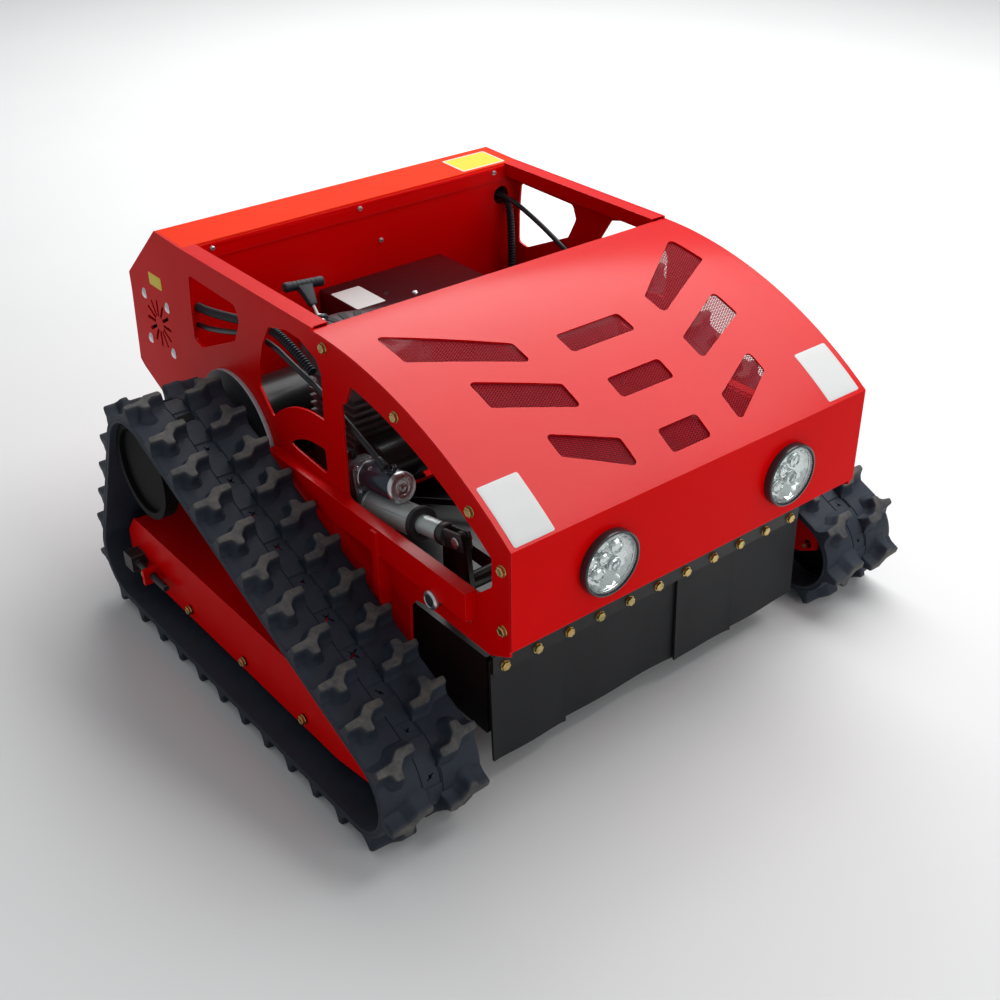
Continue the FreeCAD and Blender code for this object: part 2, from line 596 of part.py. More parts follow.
def make_hood_mesh():
    """One thin backing sheet behind each column of vents."""
    half, arc, gap = mm("body_width") / 2, arc_length(), mm("mesh_margin")
    outer = mm("hood_radius") - mm("hood_thickness")
    sheets = []
    for column in (VENT_SHARES[:3], VENT_SHARES[3:], [[(-a, b) for a, b in o] for o in VENT_SHARES[:3]]):
        across = [a * half for outline in column for a, b in outline]
        along = [b * arc for outline in column for a, b in outline]
        y_front = mm("hood_rear") - outer * math.sin(max(along) / mm("hood_radius")) - gap
        y_rear = mm("hood_rear") - outer * math.sin(min(along) / mm("hood_radius")) + gap
        band = hood_band(outer, mm("mesh_thickness"), half, y_front, y_rear)
        keep = Part.makeBox(max(across) - min(across) + 2 * gap, outer, outer,
                            Vector(min(across) - gap, 0, 0))
        sheets.append(band.common(keep))
    node("hood_mesh", [own("mesh_sheets", Part.makeCompound(sheets))])


def make_fasteners():
    """Hood bolts, fan screws and the two domed caps of the lift shaft."""
    bolts, screws = [], []
    for side in (-1, 1):
        outward = Vector(side, 0, 0)
        grip = mm("plate_thickness") + mm("hood_thickness")
        for place in edge_bolt_places():
            bolts.append(hex_bolt(Vector(side * mm(OUTER), place.y, place.z), outward, grip))
        for place in fan_screw_places():
            base = Vector(side * mm(OUTER), place.y, place.z)
            screws.append(round_screw(base, outward, mm("plate_thickness") + mm("fan_depth")))
        base = Vector(side * (mm(OUTER) + mm("sill_depth")), mm("lift_shaft_y"), mm("lift_shaft_z"))
        cap = Part.makeCylinder(mm("pivot_head_radius") + mm("rib_proud"), mm("pivot_head_height"))
        cap = cap.makeFillet(mm("pivot_head_height") * 0.6, [cap.Edges[0]])
        cap.Placement = Placement(base, Rotation(Vector(0, 0, 1), outward))
        screws.append(cap)
    for place in bulkhead_screw_places():
        grip = mm("bulkhead_y + sheet_thickness") - place.y
        screws.append(round_screw(place, Vector(0, -1, 0), grip))
    node("hood_bolts", [own("hood_bolt_set", Part.makeCompound(bolts))])
    node("silver_screws", [own("silver_screw_set", Part.makeCompound(screws))])


def make_lamps():
    """Two round work lamps in the front panel: housing, reflector and lens."""
    housings, reflectors, lenses = [], [], []
    inner = "(lamp_radius - lamp_wall)"
    for word, side in SIDES.items():
        place = (f"{side} * lamp_spacing / 2", "-lamp_standout", "lamp_height")
        housing = turned("lamp_housing_" + word, [
            ("0", "lamp_depth"), (f"{inner} - free_gap", "lamp_depth"),
            (f"{inner} - free_gap", "lamp_standout"), ("lamp_radius", "lamp_standout"), ("lamp_radius", "0"),
            (inner, "0"), (inner, "2 * lamp_wall"), (f"{inner} - lamp_wall", "2 * lamp_wall"),
            (f"{inner} - lamp_wall", "lamp_depth - lamp_wall"), ("0", "lamp_depth - lamp_wall"),
        ], Y_AXIS)
        reflector = turned("lamp_reflector_" + word, [
            ("0", "lamp_depth - 2 * lamp_wall"), (f"{inner} - 2 * lamp_wall", "lamp_depth - 2 * lamp_wall"),
            (f"{inner} - lamp_wall - free_gap", "3 * lamp_wall"),
            (f"{inner} - lamp_wall - free_gap", "2 * lamp_wall"),
            (f"{inner} - 2 * lamp_wall", "2 * lamp_wall"),
            (f"{inner} - 3 * lamp_wall", "lamp_depth - 3 * lamp_wall"), ("0", "lamp_depth - 3 * lamp_wall"),
        ], Y_AXIS)
        lens = turned("lamp_lens_" + word, [
            ("0", "2 * lamp_wall"), (f"{inner} - free_gap", "2 * lamp_wall"),
            (f"{inner} - free_gap", "2 * lamp_wall - lens_thickness"),
            ("0", "2 * lamp_wall - lens_thickness"),
        ], Y_AXIS)
        housings.append(at(housing, *place))
        reflectors.append(at(reflector, *place))
        lenses.append(at(lens, *place))
    node("lamp_housings", housings + reflectors)
    node("lamp_lenses", lenses)


# Tracks

LUG_SHARES = [
    (0.0, -0.48), (0.38, -0.5), (0.58, -0.18), (0.98, -0.12), (1.0, 0.14), (0.7, 0.16), (0.64, 0.48),
    (0.47, 0.5), (0.44, 0.12), (0.28, -0.16), (0.0, -0.18),
]


class TrackLoop:
    """The closed path of a belt about the front idler, the rear idler and the sprocket."""

    def __init__(self):
        low = mm(IDLER_Z)
        self.wheels = [
            (Vector(0, mm("front_idler_y"), low), mm("idler_radius")),
            (Vector(0, mm("rear_idler_y"), low), mm("idler_radius")),
            (Vector(0, mm("sprocket_y"), mm("sprocket_z")), seat_radius()),
        ]
        count = len(self.wheels)
        self.normals = []
        for index in range(count):
            start, first = self.wheels[index]
            end, second = self.wheels[(index + 1) % count]
            line = end - start
            along = Vector(line).normalize()
            right = Vector(0, along.z, -along.y)
            lean = (first - second) / line.Length
            self.normals.append(along * lean + right * math.sqrt(1 - lean ** 2))

    def angles(self, index):
        """Where the belt meets and leaves a wheel, in radians from +Y towards +Z."""
        enter = self.normals[index - 1]
        leave = self.normals[index]
        first = math.atan2(enter.z, enter.y)
        last = math.atan2(leave.z, leave.y)
        if last < first:
            last += 2 * math.pi
        return first, last

    def wire(self, offset):
        edges = []
        count = len(self.wheels)
        for index in range(count):
            centre, radius = self.wheels[index]
            ahead, next_radius = self.wheels[(index + 1) % count]
            normal = self.normals[index]
            edges.append(Part.LineSegment(centre + normal * (radius + offset),
                                          ahead + normal * (next_radius + offset)).toShape())
            first, last = self.angles((index + 1) % count)
            turns = [Vector(0, math.cos(a), math.sin(a)) * (next_radius + offset)
                     for a in (first, (first + last) / 2, last)]
            edges.append(Part.Arc(*[ahead + turn for turn in turns]).toShape())
        return Part.Wire(edges)

    def stations(self, offset):
        """Straight and round stretches with their lengths, from the middle of the sprocket's arc."""
        sprocket = 2
        centre, radius = self.wheels[sprocket]
        first, last = self.angles(sprocket)
        middle = (first + last) / 2
        stretches = [("arc", centre, radius + offset, middle, last)]
        for step in range(3):
            index = (sprocket + step) % 3
            ahead = (index + 1) % 3
            start = self.wheels[index][0] + self.normals[index] * (self.wheels[index][1] + offset)
            end = self.wheels[ahead][0] + self.normals[index] * (self.wheels[ahead][1] + offset)
            stretches.append(("line", start, end, self.normals[index]))
            first, last = self.angles(ahead)
            if ahead == sprocket:
                last = first + (last - first) / 2
            stretches.append(("arc", self.wheels[ahead][0], self.wheels[ahead][1] + offset, first, last))
        return stretches

    def length(self, offset):
        return sum(stretch_length(stretch) for stretch in self.stations(offset))

    def place(self, distance, offset):
        """Point and outward normal at a distance along the path."""
        for stretch in self.stations(offset):
            size = stretch_length(stretch)
            if distance <= size:
                break
            distance -= size
        if stretch[0] == "line":
            start, end, normal = stretch[1:]
            return start + (end - start) * (distance / size), normal
        centre, radius, first, last = stretch[1:]
        turn = first + (last - first) * min(distance / size, 1)
        normal = Vector(0, math.cos(turn), math.sin(turn))
        return centre + normal * radius, normal


def stretch_length(stretch):
    if stretch[0] == "line":
        return (stretch[2] - stretch[1]).Length
    return stretch[2] * (stretch[4] - stretch[3])


def seat_radius():
    return mm("sprocket_teeth * belt_pitch") / (2 * math.pi) - mm("belt_thickness") / 2


def on_belt(solid, point, normal, centre_x):
    """Turn a solid made about Z, running along -Y, to stand on the belt."""
    turn = math.degrees(math.atan2(normal.z, normal.y)) - 90
    solid.rotate(Vector(), Vector(1, 0, 0), turn)
    solid.translate(Vector(centre_x, point.y, point.z))
    return solid


def belt_shape(centre_x):
    loop = TrackLoop()
    width, thick = mm("track_width"), mm("belt_thickness")
    ring = Part.Face(loop.wire(thick)).cut(Part.Face(loop.wire(0))).extrude(Vector(width, 0, 0))
    ring.translate(Vector(centre_x - width / 2, 0, 0))
    pitch_line = thick / 2
    total = loop.length(pitch_line)
    count = round(total / mm("belt_pitch"))
    spacing = total / count
    reach = (width - mm("centre_strip")) / 2
    sink = thick / 2
    lug_length = mm("lug_length")
    lugs, windows = [], []
    for index in range(count):
        point, normal = loop.place(index * spacing, pitch_line)
        window = Part.makeBox(mm("window_width"), mm("window_length"), 3 * thick,
                              Vector(-mm("window_width") / 2, -mm("window_length") / 2, -1.5 * thick))
        windows.append(on_belt(window, point, normal, centre_x))
        point, normal = loop.place((index + 0.5) * spacing, pitch_line)
        for side in (-1, 1):
            corners = [Vector(side * (mm("centre_strip") / 2 + a * reach), side * b * lug_length, 0)
                       for a, b in LUG_SHARES]
            lug = Part.Face(Part.makePolygon(corners + corners[:1]))
            lug = lug.extrude(Vector(0, 0, sink + mm("lug_height")))
            lugs.append(on_belt(lug, point, normal, centre_x))
    size = mm("body_length")
    ground = Part.makeBox(2 * width, 2 * size, thick, Vector(centre_x - width, -size / 2, -thick))
    return ring.fuse(lugs).cut(windows + [ground])


def make_tracks():
    for word, side in SIDES.items():
        shape = belt_shape(side * mm("track_spacing") / 2)
        node("rubber_track_" + word, [own("belt_" + word, shape)])


def wheel(name, radius):
    """An idler or road wheel: two rims on a web and a hub, turned about its axle."""
    bore = "axle_radius + running_gap"
    return turned(name, [
        (bore, "-wheel_width / 2"), ("hub_radius", "-wheel_width / 2"),
        ("hub_radius", "-wheel_width / 2 + wheel_web"),
        (f"{radius} - wheel_web", "-wheel_width / 2 + wheel_web"),
        (f"{radius} - wheel_web", "-wheel_width / 2"), (radius, "-wheel_width / 2"),
        (radius, "-wheel_width / 2 + wheel_rim"), ("hub_radius + wheel_web", "-wheel_width / 2 + wheel_rim"),
        ("hub_radius + wheel_web", "wheel_width / 2 - wheel_rim"), (radius, "wheel_width / 2 - wheel_rim"),
        (radius, "wheel_width / 2"), (f"{radius} - wheel_web", "wheel_width / 2"),
        (f"{radius} - wheel_web", "wheel_width / 2 - wheel_web"),
        ("hub_radius", "wheel_width / 2 - wheel_web"),
        ("hub_radius", "wheel_width / 2"), (bore, "wheel_width / 2"),
    ], X_AXIS)


def make_wheels():
    for word, side in SIDES.items():
        across = f"{side} * track_spacing / 2"
        rolling = "(idler_radius - free_gap)"
        front = at(wheel("front_idler_wheel_" + word, rolling), across, "front_idler_y", IDLER_Z)
        rear = at(wheel("rear_idler_wheel_" + word, rolling), across, "rear_idler_y", IDLER_Z)
        node("front_idler_" + word, [front])
        node("rear_idler_" + word, [rear])
        for index in range(3):
            roller = wheel(f"road_wheel_body_{word}_{index + 1}", "(roller_radius - free_gap)")
            at(roller, across, f"roller_first_y + {index} * roller_step", ROLLER_Z)
            node(f"road_wheel_{word}_{index + 1}", [roller])


def make_sprockets():
    """Toothed disc and support drums on the drive shaft."""
    for word, side in SIDES.items():
        centre = Vector(side * mm("track_spacing") / 2, mm("sprocket_y"), mm("sprocket_z"))
        seat = seat_radius() - mm("free_gap")
        width = mm("sprocket_width")
        drum = mm("wheel_rim")
        axle = Vector(1, 0, 0)
        solid = Part.makeCylinder(seat, width, centre - axle * (width / 2), axle)
        loop = TrackLoop()
        first, last = loop.angles(2)
        teeth = round(mm("sprocket_teeth"))
        tooth_height = mm("belt_thickness")
        base, tip = mm("tooth_length") / 2, mm("tooth_length") / 3
        for index in range(teeth):
            profile = [Vector(0, -base, seat - drum / 4), Vector(0, base, seat - drum / 4),
                       Vector(0, tip, seat + tooth_height), Vector(0, -tip, seat + tooth_height)]
            tooth = Part.Face(Part.makePolygon(profile + profile[:1])).extrude(Vector(width, 0, 0))
            tooth.translate(Vector(-width / 2, 0, 0))
            turn = math.degrees((first + last) / 2) - 90 + 360 * index / teeth
            tooth.rotate(Vector(), axle, turn)
            tooth.translate(centre)
            solid = solid.fuse(tooth)
        reach = mm("track_width") / 2 - drum
        for place in (-1, 1):
            start = centre + axle * (place * reach - drum / 2)
            ring = Part.makeCylinder(seat, drum, start, axle)
            solid = solid.fuse(ring.cut(Part.makeCylinder(seat - drum / 2, drum, start, axle)))
            inner = min(place * reach, 0)
            solid = solid.fuse(Part.makeCylinder(mm("hub_radius") * 2, reach, centre + axle * inner, axle))
            web = Part.makeCylinder(seat - drum / 4, drum / 3, start + axle * (drum / 3), axle)
            solid = solid.fuse(web)
        inner_end = mm(INNER) - mm("gearbox_length")
        start = inner_end if side > 0 else -(mm("track_spacing") / 2 + mm("hub_radius"))
        size = mm("track_spacing") / 2 + mm("hub_radius") - inner_end
        shaft = Part.makeCylinder(mm("drive_shaft_radius"), size, Vector(start, centre.y, centre.z), axle)
        node("drive_sprocket_" + word, [own("sprocket_" + word, solid.fuse(shaft))])


def make_travel_motors():
    """Fixed guard disc outside each plate, gearbox and motor inside it."""
    guards, motors = [], []
    for word, side in SIDES.items():
        y, z = "sprocket_y", "sprocket_z"
        near, far = span(side, OUTER, f"{OUTER} + guard_thickness")
        disc = rod("guard_disc_" + word, "guard_radius", "guard_thickness", near, y, z, X_AXIS)
        bore = rod("guard_bore_" + word, "drive_shaft_radius + free_gap", "guard_thickness + 2 * cut_overrun",
                   f"{near} - cut_overrun", y, z, X_AXIS)
        guards.append(cut("guard_" + word, disc, [bore]))
        near, far = span(side, f"{INNER} - gearbox_length", INNER)
        case = rod("gearbox_case_" + word, "0.92 * motor_radius", "gearbox_length", near, y, z, X_AXIS)
        bore = rod("gearbox_bore_" + word, "drive_shaft_radius + running_gap", "gearbox_length + cut_overrun",
                   near if side > 0 else f"{near} - cut_overrun", y, z, X_AXIS)
        near, far = span(side, f"{INNER} - gearbox_length - motor_length", f"{INNER} - gearbox_length")
        can = rod("motor_can_" + word, "motor_radius", "motor_length", near, y, f"{z} + motor_rise", X_AXIS)
        motors.append(fuse("motor_" + word, [cut("gearbox_" + word, case, [bore]), can]))
    node("sprocket_guards", guards)
    node("travel_motors", motors)


FRAME_NOSE_SHARES = [(0.36, 0.0), (-0.6, 0.12), (-1.0, 0.3), (-1.0, 0.62), (-0.5, 0.78), (0.36, 1.0)]
WEB_SHARES = [(0.1, 0.0), (0.17, 0.42), (0.45, 0.8), (0.6, 1.0), (0.64, 0.72), (0.665, 0.0)]


def frame_cheek(start, thick):
    """Outline of a track frame's side, nose round the front idler included."""
    low, high = mm("frame_bottom"), mm("frame_top")
    front, rear = mm("frame_front"), mm("frame_rear")
    nose = front - mm("front_idler_y") + mm("hub_radius")
    points = [Vector(0, front + a * nose, low + b * (high - low)) for a, b in FRAME_NOSE_SHARES]
    size = (high - low) / 3
    points += [Vector(0, rear - 0.8 * size, high), Vector(0, rear, high - size), Vector(0, rear, low)]
    cheek = prism(points, thick)
    cheek.translate(Vector(start, 0, 0))
    return cheek


def make_track_frames():
    """Downward-open channel that carries the wheels, with its web and stub tubes."""
    axle = Vector(1, 0, 0)
    for word, side in SIDES.items():
        half, wall = mm("frame_width") / 2, mm("frame_wall")
        middle = side * mm("track_spacing") / 2
        low, high = mm("frame_bottom"), mm("frame_top")
        front, rear = mm("frame_front"), mm("frame_rear")
        length = rear - front - 0.3 * (high - low)
        solid = Part.makeBox(2 * half, length, wall, Vector(middle - half, front, high - wall))
        for start in (middle - half, middle + half - wall):
            solid = solid.fuse(frame_cheek(start, wall))
        inner = middle - side * half
        web_start = inner if side > 0 else inner - wall
        length = rear - front
        web = prism([Vector(0, front + a * length, high - wall + b * (mm("web_height") - high + wall))
                     for a, b in WEB_SHARES], wall)
        web.translate(Vector(web_start, 0, 0))
        solid = solid.fuse(web)
        for y, z in (("stub_front_y", "stub_front_z"), ("stub_rear_y", "stub_rear_z")):
            start = mm(OUTER) if side > 0 else -abs(inner) - wall
            size = abs(inner) - mm(OUTER) + wall
            stub = Part.makeCylinder(mm("stub_radius"), size, Vector(start, mm(y), mm(z)), axle)
            solid = solid.fuse(stub)
        outer_face = middle + side * half
        tab_start = outer_face if side > 0 else outer_face - mm("tension_block")
        tab = Part.makeBox(mm("tension_block"), mm("tab_thickness"), mm("tension_block"),
                           Vector(tab_start, mm("tab_y"), mm(IDLER_Z) - mm("tension_block") / 2))
        solid = solid.fuse(tab)
        cuts = []
        across = Vector(middle - half - wall, 0, 0)
        deep = 2 * half + 2 * wall
        reach, size = mm("axle_radius") + mm("running_gap"), mm("slack")
        slot = Part.makeBox(deep, 2 * size, 2 * reach,
                            Vector(across.x, mm("rear_idler_y") - size, mm(IDLER_Z) - reach))
        for end in (-size, size):
            slot = slot.fuse(Part.makeCylinder(reach, deep,
                             Vector(across.x, mm("rear_idler_y") + end, mm(IDLER_Z)), axle))
        cuts.append(slot)
        for y, z in wheel_axles():
            cuts.append(Part.makeCylinder(mm("axle_radius"), deep, Vector(across.x, y, z), axle))
        rod_x = outer_face + side * mm("tension_block_depth") / 2
        cuts.append(Part.makeCylinder(mm("tension_rod_radius") + mm("free_gap"), mm("tension_rod_length"),
                    Vector(rod_x, mm("tab_y") - mm("tension_rod_length") / 2, mm(IDLER_Z)), Vector(0, 1, 0)))
        node("track_frame_" + word, [own("frame_" + word, solid.cut(cuts))])


def wheel_axles():
    """Axles fixed in the cheeks: front idler and three road wheels."""
    places = [(mm("front_idler_y"), mm(IDLER_Z))]
    for index in range(3):
        places.append((mm("roller_first_y") + index * mm("roller_step"), mm(ROLLER_Z)))
    return places


def make_track_bolts():
    """Axle bolts with a head outside and a nut inside, and the lock nuts of the tensioners."""
    solids = []
    for side in (-1, 1):
        middle, half = mm("track_spacing") / 2, mm("frame_width") / 2
        head = mm("bolt_head_height") * 1.5
        for y, z in wheel_axles():
            outer = Vector(side * (middle + half), y, z)
            shank = Part.makeCylinder(mm("axle_radius"), 2 * half, outer, Vector(-side, 0, 0))
            for place, outward in ((outer, side), (Vector(side * (middle - half), y, z), -side)):
                cap = hexagon(1.6 * mm("axle_radius"), head)
                cap.Placement = Placement(place, Rotation(Vector(0, 0, 1), Vector(outward, 0, 0)))
                shank = shank.fuse(cap)
            solids.append(shank)
        radius, z = mm("tension_rod_radius"), mm(IDLER_Z)
        rod_x = side * (middle + half + mm("tension_block_depth") / 2)
        nut = hexagon(2 * radius, radius * 1.6)
        nut.Placement = Placement(Vector(rod_x, mm("tab_y") + mm("tab_thickness"), z),
                                  Rotation(Vector(0, 0, 1), Vector(0, 1, 0)))
        solids.append(nut.cut(Part.makeCylinder(radius + mm("free_gap"), 4 * radius,
                                                Vector(rod_x, mm("tab_y"), z), Vector(0, 1, 0))))
    node("track_bolts", [own("track_bolt_set", Part.makeCompound(solids))])


def make_tensioners():
    """Sliding axle of the rear idler with its end block and threaded rod."""
    for word, side in SIDES.items():
        middle, half = mm("track_spacing") / 2, mm("frame_width") / 2
        y, z = mm("rear_idler_y"), mm(IDLER_Z)
        face = middle + half
        play = mm("free_gap") / 2
        block, depth = mm("tension_block"), mm("tension_block_depth")
        inner_end = middle - half - mm("bolt_head_height")
        axle = Part.makeCylinder(mm("axle_radius"), face + depth - inner_end,
                                 Vector(side * inner_end, y, z), Vector(side, 0, 0))
        start = face + play if side > 0 else -(face + depth)
        axle = axle.fuse(Part.makeBox(depth - play, block, block,
                                      Vector(start, y - block / 2, z - block / 2)))
        rod_x = side * (face + depth / 2)
        radius, size = mm("tension_rod_radius"), mm("tension_rod_length")
        axle = axle.fuse(Part.makeCylinder(radius, size, Vector(rod_x, y - block / 2 - size + radius, z),
                                           Vector(0, 1, 0)))
        node("tension_slide_" + word, [own("tension_axle_" + word, axle)])


# Cutting deck

FLAP_EDGE_SHARES = (-1, -0.565, 0.153, 0.553, 1)
DECK_FRONT = "(bar_front + bar_thickness + 2 * flap_thickness)"


def make_deck():
    """Deck shell open at the bottom, spindle housing, ears and slotted lift brackets."""
    wide, thick = "deck_half_width", "deck_plate"
    low = "(deck_top - deck_skirt)"
    shell = box("deck_block", (f"-{wide}", wide), (DECK_FRONT, "deck_rear"), (low, "deck_top"))
    hollow = box("deck_hollow", (f"-{wide} + {thick}", f"{wide} - {thick}"),
                 (f"{DECK_FRONT} + {thick}", f"deck_rear - {thick}"),
                 (f"{low} - cut_overrun", f"deck_top - {thick}"))
    pieces = [cut("deck_shell", shell, [hollow])]
    neck = "(blade_height + 3 * blade_thickness)"
    pieces.append(rod("spindle_housing", "2.4 * spindle_radius", f"deck_top - deck_plate / 2 - {neck}", "0",
                      "blade_y", neck))
    for word, side in SIDES.items():
        across = span(side, f"{wide} - 2 * ear_thickness + free_gap", f"{wide} - ear_thickness")
        ear = box("deck_ear_" + word, across,
                  ("deck_rear - 6 * ear_thickness", "deck_pivot_y + 2 * deck_pin_radius"),
                  ("deck_top - deck_plate", "deck_pivot_z + 2 * deck_pin_radius"))
        hole_tool = rod("deck_ear_bore_" + word, "deck_pin_radius + running_gap",
                        "ear_thickness + 2 * cut_overrun", f"({across[0]}) - cut_overrun", "deck_pivot_y",
                        "deck_pivot_z", X_AXIS)
        pieces.append(cut("deck_ear_bored_" + word, ear, [hole_tool]))
        near, far = span(side, "lift_arm_x + lift_arm_thickness + free_gap",
                         "lift_arm_x + 2 * lift_arm_thickness")
        place = "(lift_shaft_y + lift_arm)"
        bracket = box("lift_bracket_" + word, (near, far),
                      (f"{place} - bracket_front", f"{place} + bracket_rear"),
                      ("deck_top - deck_plate", "lift_shaft_z + bracket_rise"))
        opening = box("lift_slot_" + word, (f"({near}) - cut_overrun", f"({far}) + cut_overrun"),
                      (f"{place} - roller_pin - lift_slot_front", f"{place} + roller_pin + lift_slot_rear"),
                      ("lift_shaft_z - roller_pin - slot_play", "lift_shaft_z + roller_pin + slot_play"))
        pieces.append(cut("lift_bracket_slotted_" + word, bracket, [opening]))
    bores = [rod("deck_spindle_bore", "spindle_radius + running_gap", "deck_top", "0", "blade_y",
                 "cut_overrun")]
    for index, place in enumerate(bar_bolt_places()):
        bores.append(own(f"deck_bolt_bore_{index}", bar_bolt_bore(place)))
    node("mower_deck", [cut("deck_bored", fuse("deck_welded", pieces), bores)])
    bar = box("front_bar_block", (f"-{wide}", wide), ("bar_front", "bar_front + bar_thickness"),
              ("deck_top - bar_height + 2 * deck_plate", "deck_top + 2 * deck_plate"))
    bores = [own(f"bar_bolt_bore_{index}", bar_bolt_bore(place))
             for index, place in enumerate(bar_bolt_places())]
    node("deck_front_bar", [cut("front_bar_bored", bar, bores)])


def bar_bolt_places():
    middle = mm("deck_top - bar_height / 2 + deck_plate / 2")
    count, step = round(mm("bar_bolts")), mm("bar_bolt_step")
    return [Vector((index - (count - 1) / 2) * step, mm("bar_front"), middle) for index in range(count)]


def bar_bolt_bore(place):
    return hole(place, Vector(0, 1, 0), mm("bolt_radius"), mm("bar_thickness") + 4 * mm("deck_plate"))


def make_flap():
    """Overlapping rubber strips held between the front bar and the deck."""
    strips = []
    lap, thick = mm("flap_overlap"), mm("flap_thickness")
    top, low = mm("deck_top - deck_plate"), mm("flap_bottom")
    edges = [share * mm("deck_half_width") for share in FLAP_EDGE_SHARES]
    bores = [bar_bolt_bore(place) for place in bar_bolt_places()]
    for index, (start, end) in enumerate(zip(edges, edges[1:])):
        if index % 2:
            start, end = start - lap, min(end + lap, edges[-1])
        depth = mm("bar_front + bar_thickness") + (index % 2) * thick
        strip = Part.makeBox(end - start, thick, top - low, Vector(start, depth, low))
        strips.append(strip.cut(bores))
    node("rubber_flap", [own("flap_strips", Part.makeCompound(strips))])
    grip = mm("bar_thickness + 2 * flap_thickness + deck_plate")
    bolts = [hex_bolt(place, Vector(0, -1, 0), grip) for place in bar_bolt_places()]
    node("flap_bolts", [own("flap_bolt_set", Part.makeCompound(bolts))])


def make_blade():
    """Spindle with its pulley, and the blade bar under it."""
    axis = Vector(0, 0, 1)
    centre = Vector(0, mm("blade_y"), 0)
    radius = mm("spindle_radius")
    shaft = Part.makeCylinder(radius, mm("pulley_z") + mm("pulley_width") - mm("blade_height"),
                              centre + axis * mm("blade_height"), axis)
    washer = Part.makeCylinder(2 * radius, 2 * mm("blade_thickness"), centre + axis * mm("blade_height"), axis)
    wheel_piece = pulley(mm("spindle_pulley"), radius, centre)
    node("blade_spindle", [own("blade_spindle_body", shaft.fuse([washer, wheel_piece]))])
    blade = Part.makeBox(2 * mm("blade_radius"), mm("blade_width"), mm("blade_thickness"),
                         centre - Vector(mm("blade_radius"), mm("blade_width") / 2,
                                         mm("blade_thickness") - mm("blade_height")))
    node("cutter_blade", [own("blade_bar", blade)])


def pulley(radius, bore, centre):
    """V-grooved pulley on a shaft along Z."""
    width, belt = mm("pulley_width"), mm("belt_section")
    place = centre + Vector(0, 0, mm("pulley_z"))
    profile = [Vector(bore, 0, 0), Vector(radius, 0, 0), Vector(radius, 0, (width - belt) / 2),
               Vector(radius - belt * 0.8, 0, (width - belt / 2) / 2),
               Vector(radius - belt * 0.8, 0, (width + belt / 2) / 2),
               Vector(radius, 0, (width + belt) / 2), Vector(radius, 0, width), Vector(bore, 0, width)]
    solid = Part.Face(Part.makePolygon(profile + profile[:1])).revolve(Vector(), Vector(0, 0, 1), 360)
    solid.translate(place)
    return solid


def make_drive_belt():
    """V-belt about the engine pulley and the spindle pulley."""
    first = Vector(-mm("engine_x"), mm("engine_y"), 0)
    second = Vector(0, mm("blade_y"), 0)
    section, gap = mm("belt_section"), mm("free_gap")
    middle = mm("pulley_z") + mm("pulley_width") / 2

    def loop(shift):
        small = mm("engine_pulley") + shift
        large = mm("spindle_pulley") + shift
        line = second - first
        along = Vector(line).normalize()
        right = Vector(along.y, -along.x, 0)
        lean = (small - large) / line.Length
        normals = [along * lean + right * side * math.sqrt(1 - lean ** 2) for side in (1, -1)]
        corners = [(first + n * small, second + n * large) for n in normals]
        edges = [Part.LineSegment(*corners[0]).toShape(),
                 Part.Arc(corners[0][1], second + along * large, corners[1][1]).toShape(),
                 Part.LineSegment(corners[1][1], corners[1][0]).toShape(),
                 Part.Arc(corners[1][0], first - along * small, corners[0][0]).toShape()]
        return Part.Wire(edges)

    ring = Part.Face(loop(gap + section * 0.4)).cut(Part.Face(loop(gap))).extrude(Vector(0, 0, section))
    ring.translate(Vector(0, 0, middle - section / 2))
    node("drive_belt", [own("drive_belt_loop", ring)])


def make_lift():
    """Cross shaft with two lift arms and the actuator's lever; roller pins in the deck's slots."""
    axle = Vector(1, 0, 0)
    y, z = mm("lift_shaft_y"), mm("lift_shaft_z")
    reach = mm(OUTER) + mm("sill_depth")
    shaft = Part.makeCylinder(mm("lift_shaft_radius"), 2 * reach, Vector(-reach, y, z), axle)
    thick, width = mm("lift_arm_thickness"), mm("lift_arm_width")
    for side in (-1, 1):
        start = side * mm("lift_arm_x") if side > 0 else side * mm("lift_arm_x") - thick
        arm = arm_bar(Vector(start, y, z), Vector(0, 1, 0), mm("lift_arm"), thick, width)
        shaft = shaft.fuse(arm)
        size = 2 * thick + mm("free_gap")
        pin_start = start if side > 0 else start - size + thick
        shaft = shaft.fuse(Part.makeCylinder(mm("roller_pin"), size,
                                             Vector(pin_start, y + mm("lift_arm"), z), axle))
    lean = math.radians(mm("lever_lean"))
    lever_start = -mm("actuator_x") - thick / 2
    lever = arm_bar(Vector(lever_start, y, z), Vector(0, math.sin(lean), math.cos(lean)),
                    mm("lever_length"), thick, width)
    slot_radius, slot = mm("pin_radius") + mm("slot_gap"), 2 * mm("slot_play")
    eye = lever_eye()
    along = Vector(0, math.sin(lean), math.cos(lean))
    tools = [Part.makeCylinder(slot_radius, thick * 3, eye + along * end - axle * thick * 1.5, axle)
             for end in (-slot, slot)]
    block = Part.makeBox(thick * 3, 2 * slot_radius, 2 * slot,
                         Vector(-thick * 1.5, -slot_radius, -slot))
    block.rotate(Vector(), axle, -mm("lever_lean"))
    block.translate(eye)
    lever = lever.cut(tools + [block])
    node("lift_shaft", [own("lift_shaft_welded", shaft.fuse(lever))])


def arm_bar(root, direction, length, thick, width):
    """Flat bar with round ends, from a shaft centre along a direction in the YZ plane."""
    axle = Vector(1, 0, 0)
    bar = Part.makeBox(thick, width, length, Vector(0, -width / 2, 0))
    for end in (0, length):
        bar = bar.fuse(Part.makeCylinder(width / 2, thick, Vector(0, 0, end), axle))
    turn = math.degrees(math.atan2(direction.z, direction.y)) - 90
    bar.rotate(Vector(), axle, turn)
    bar.translate(root)
    return bar


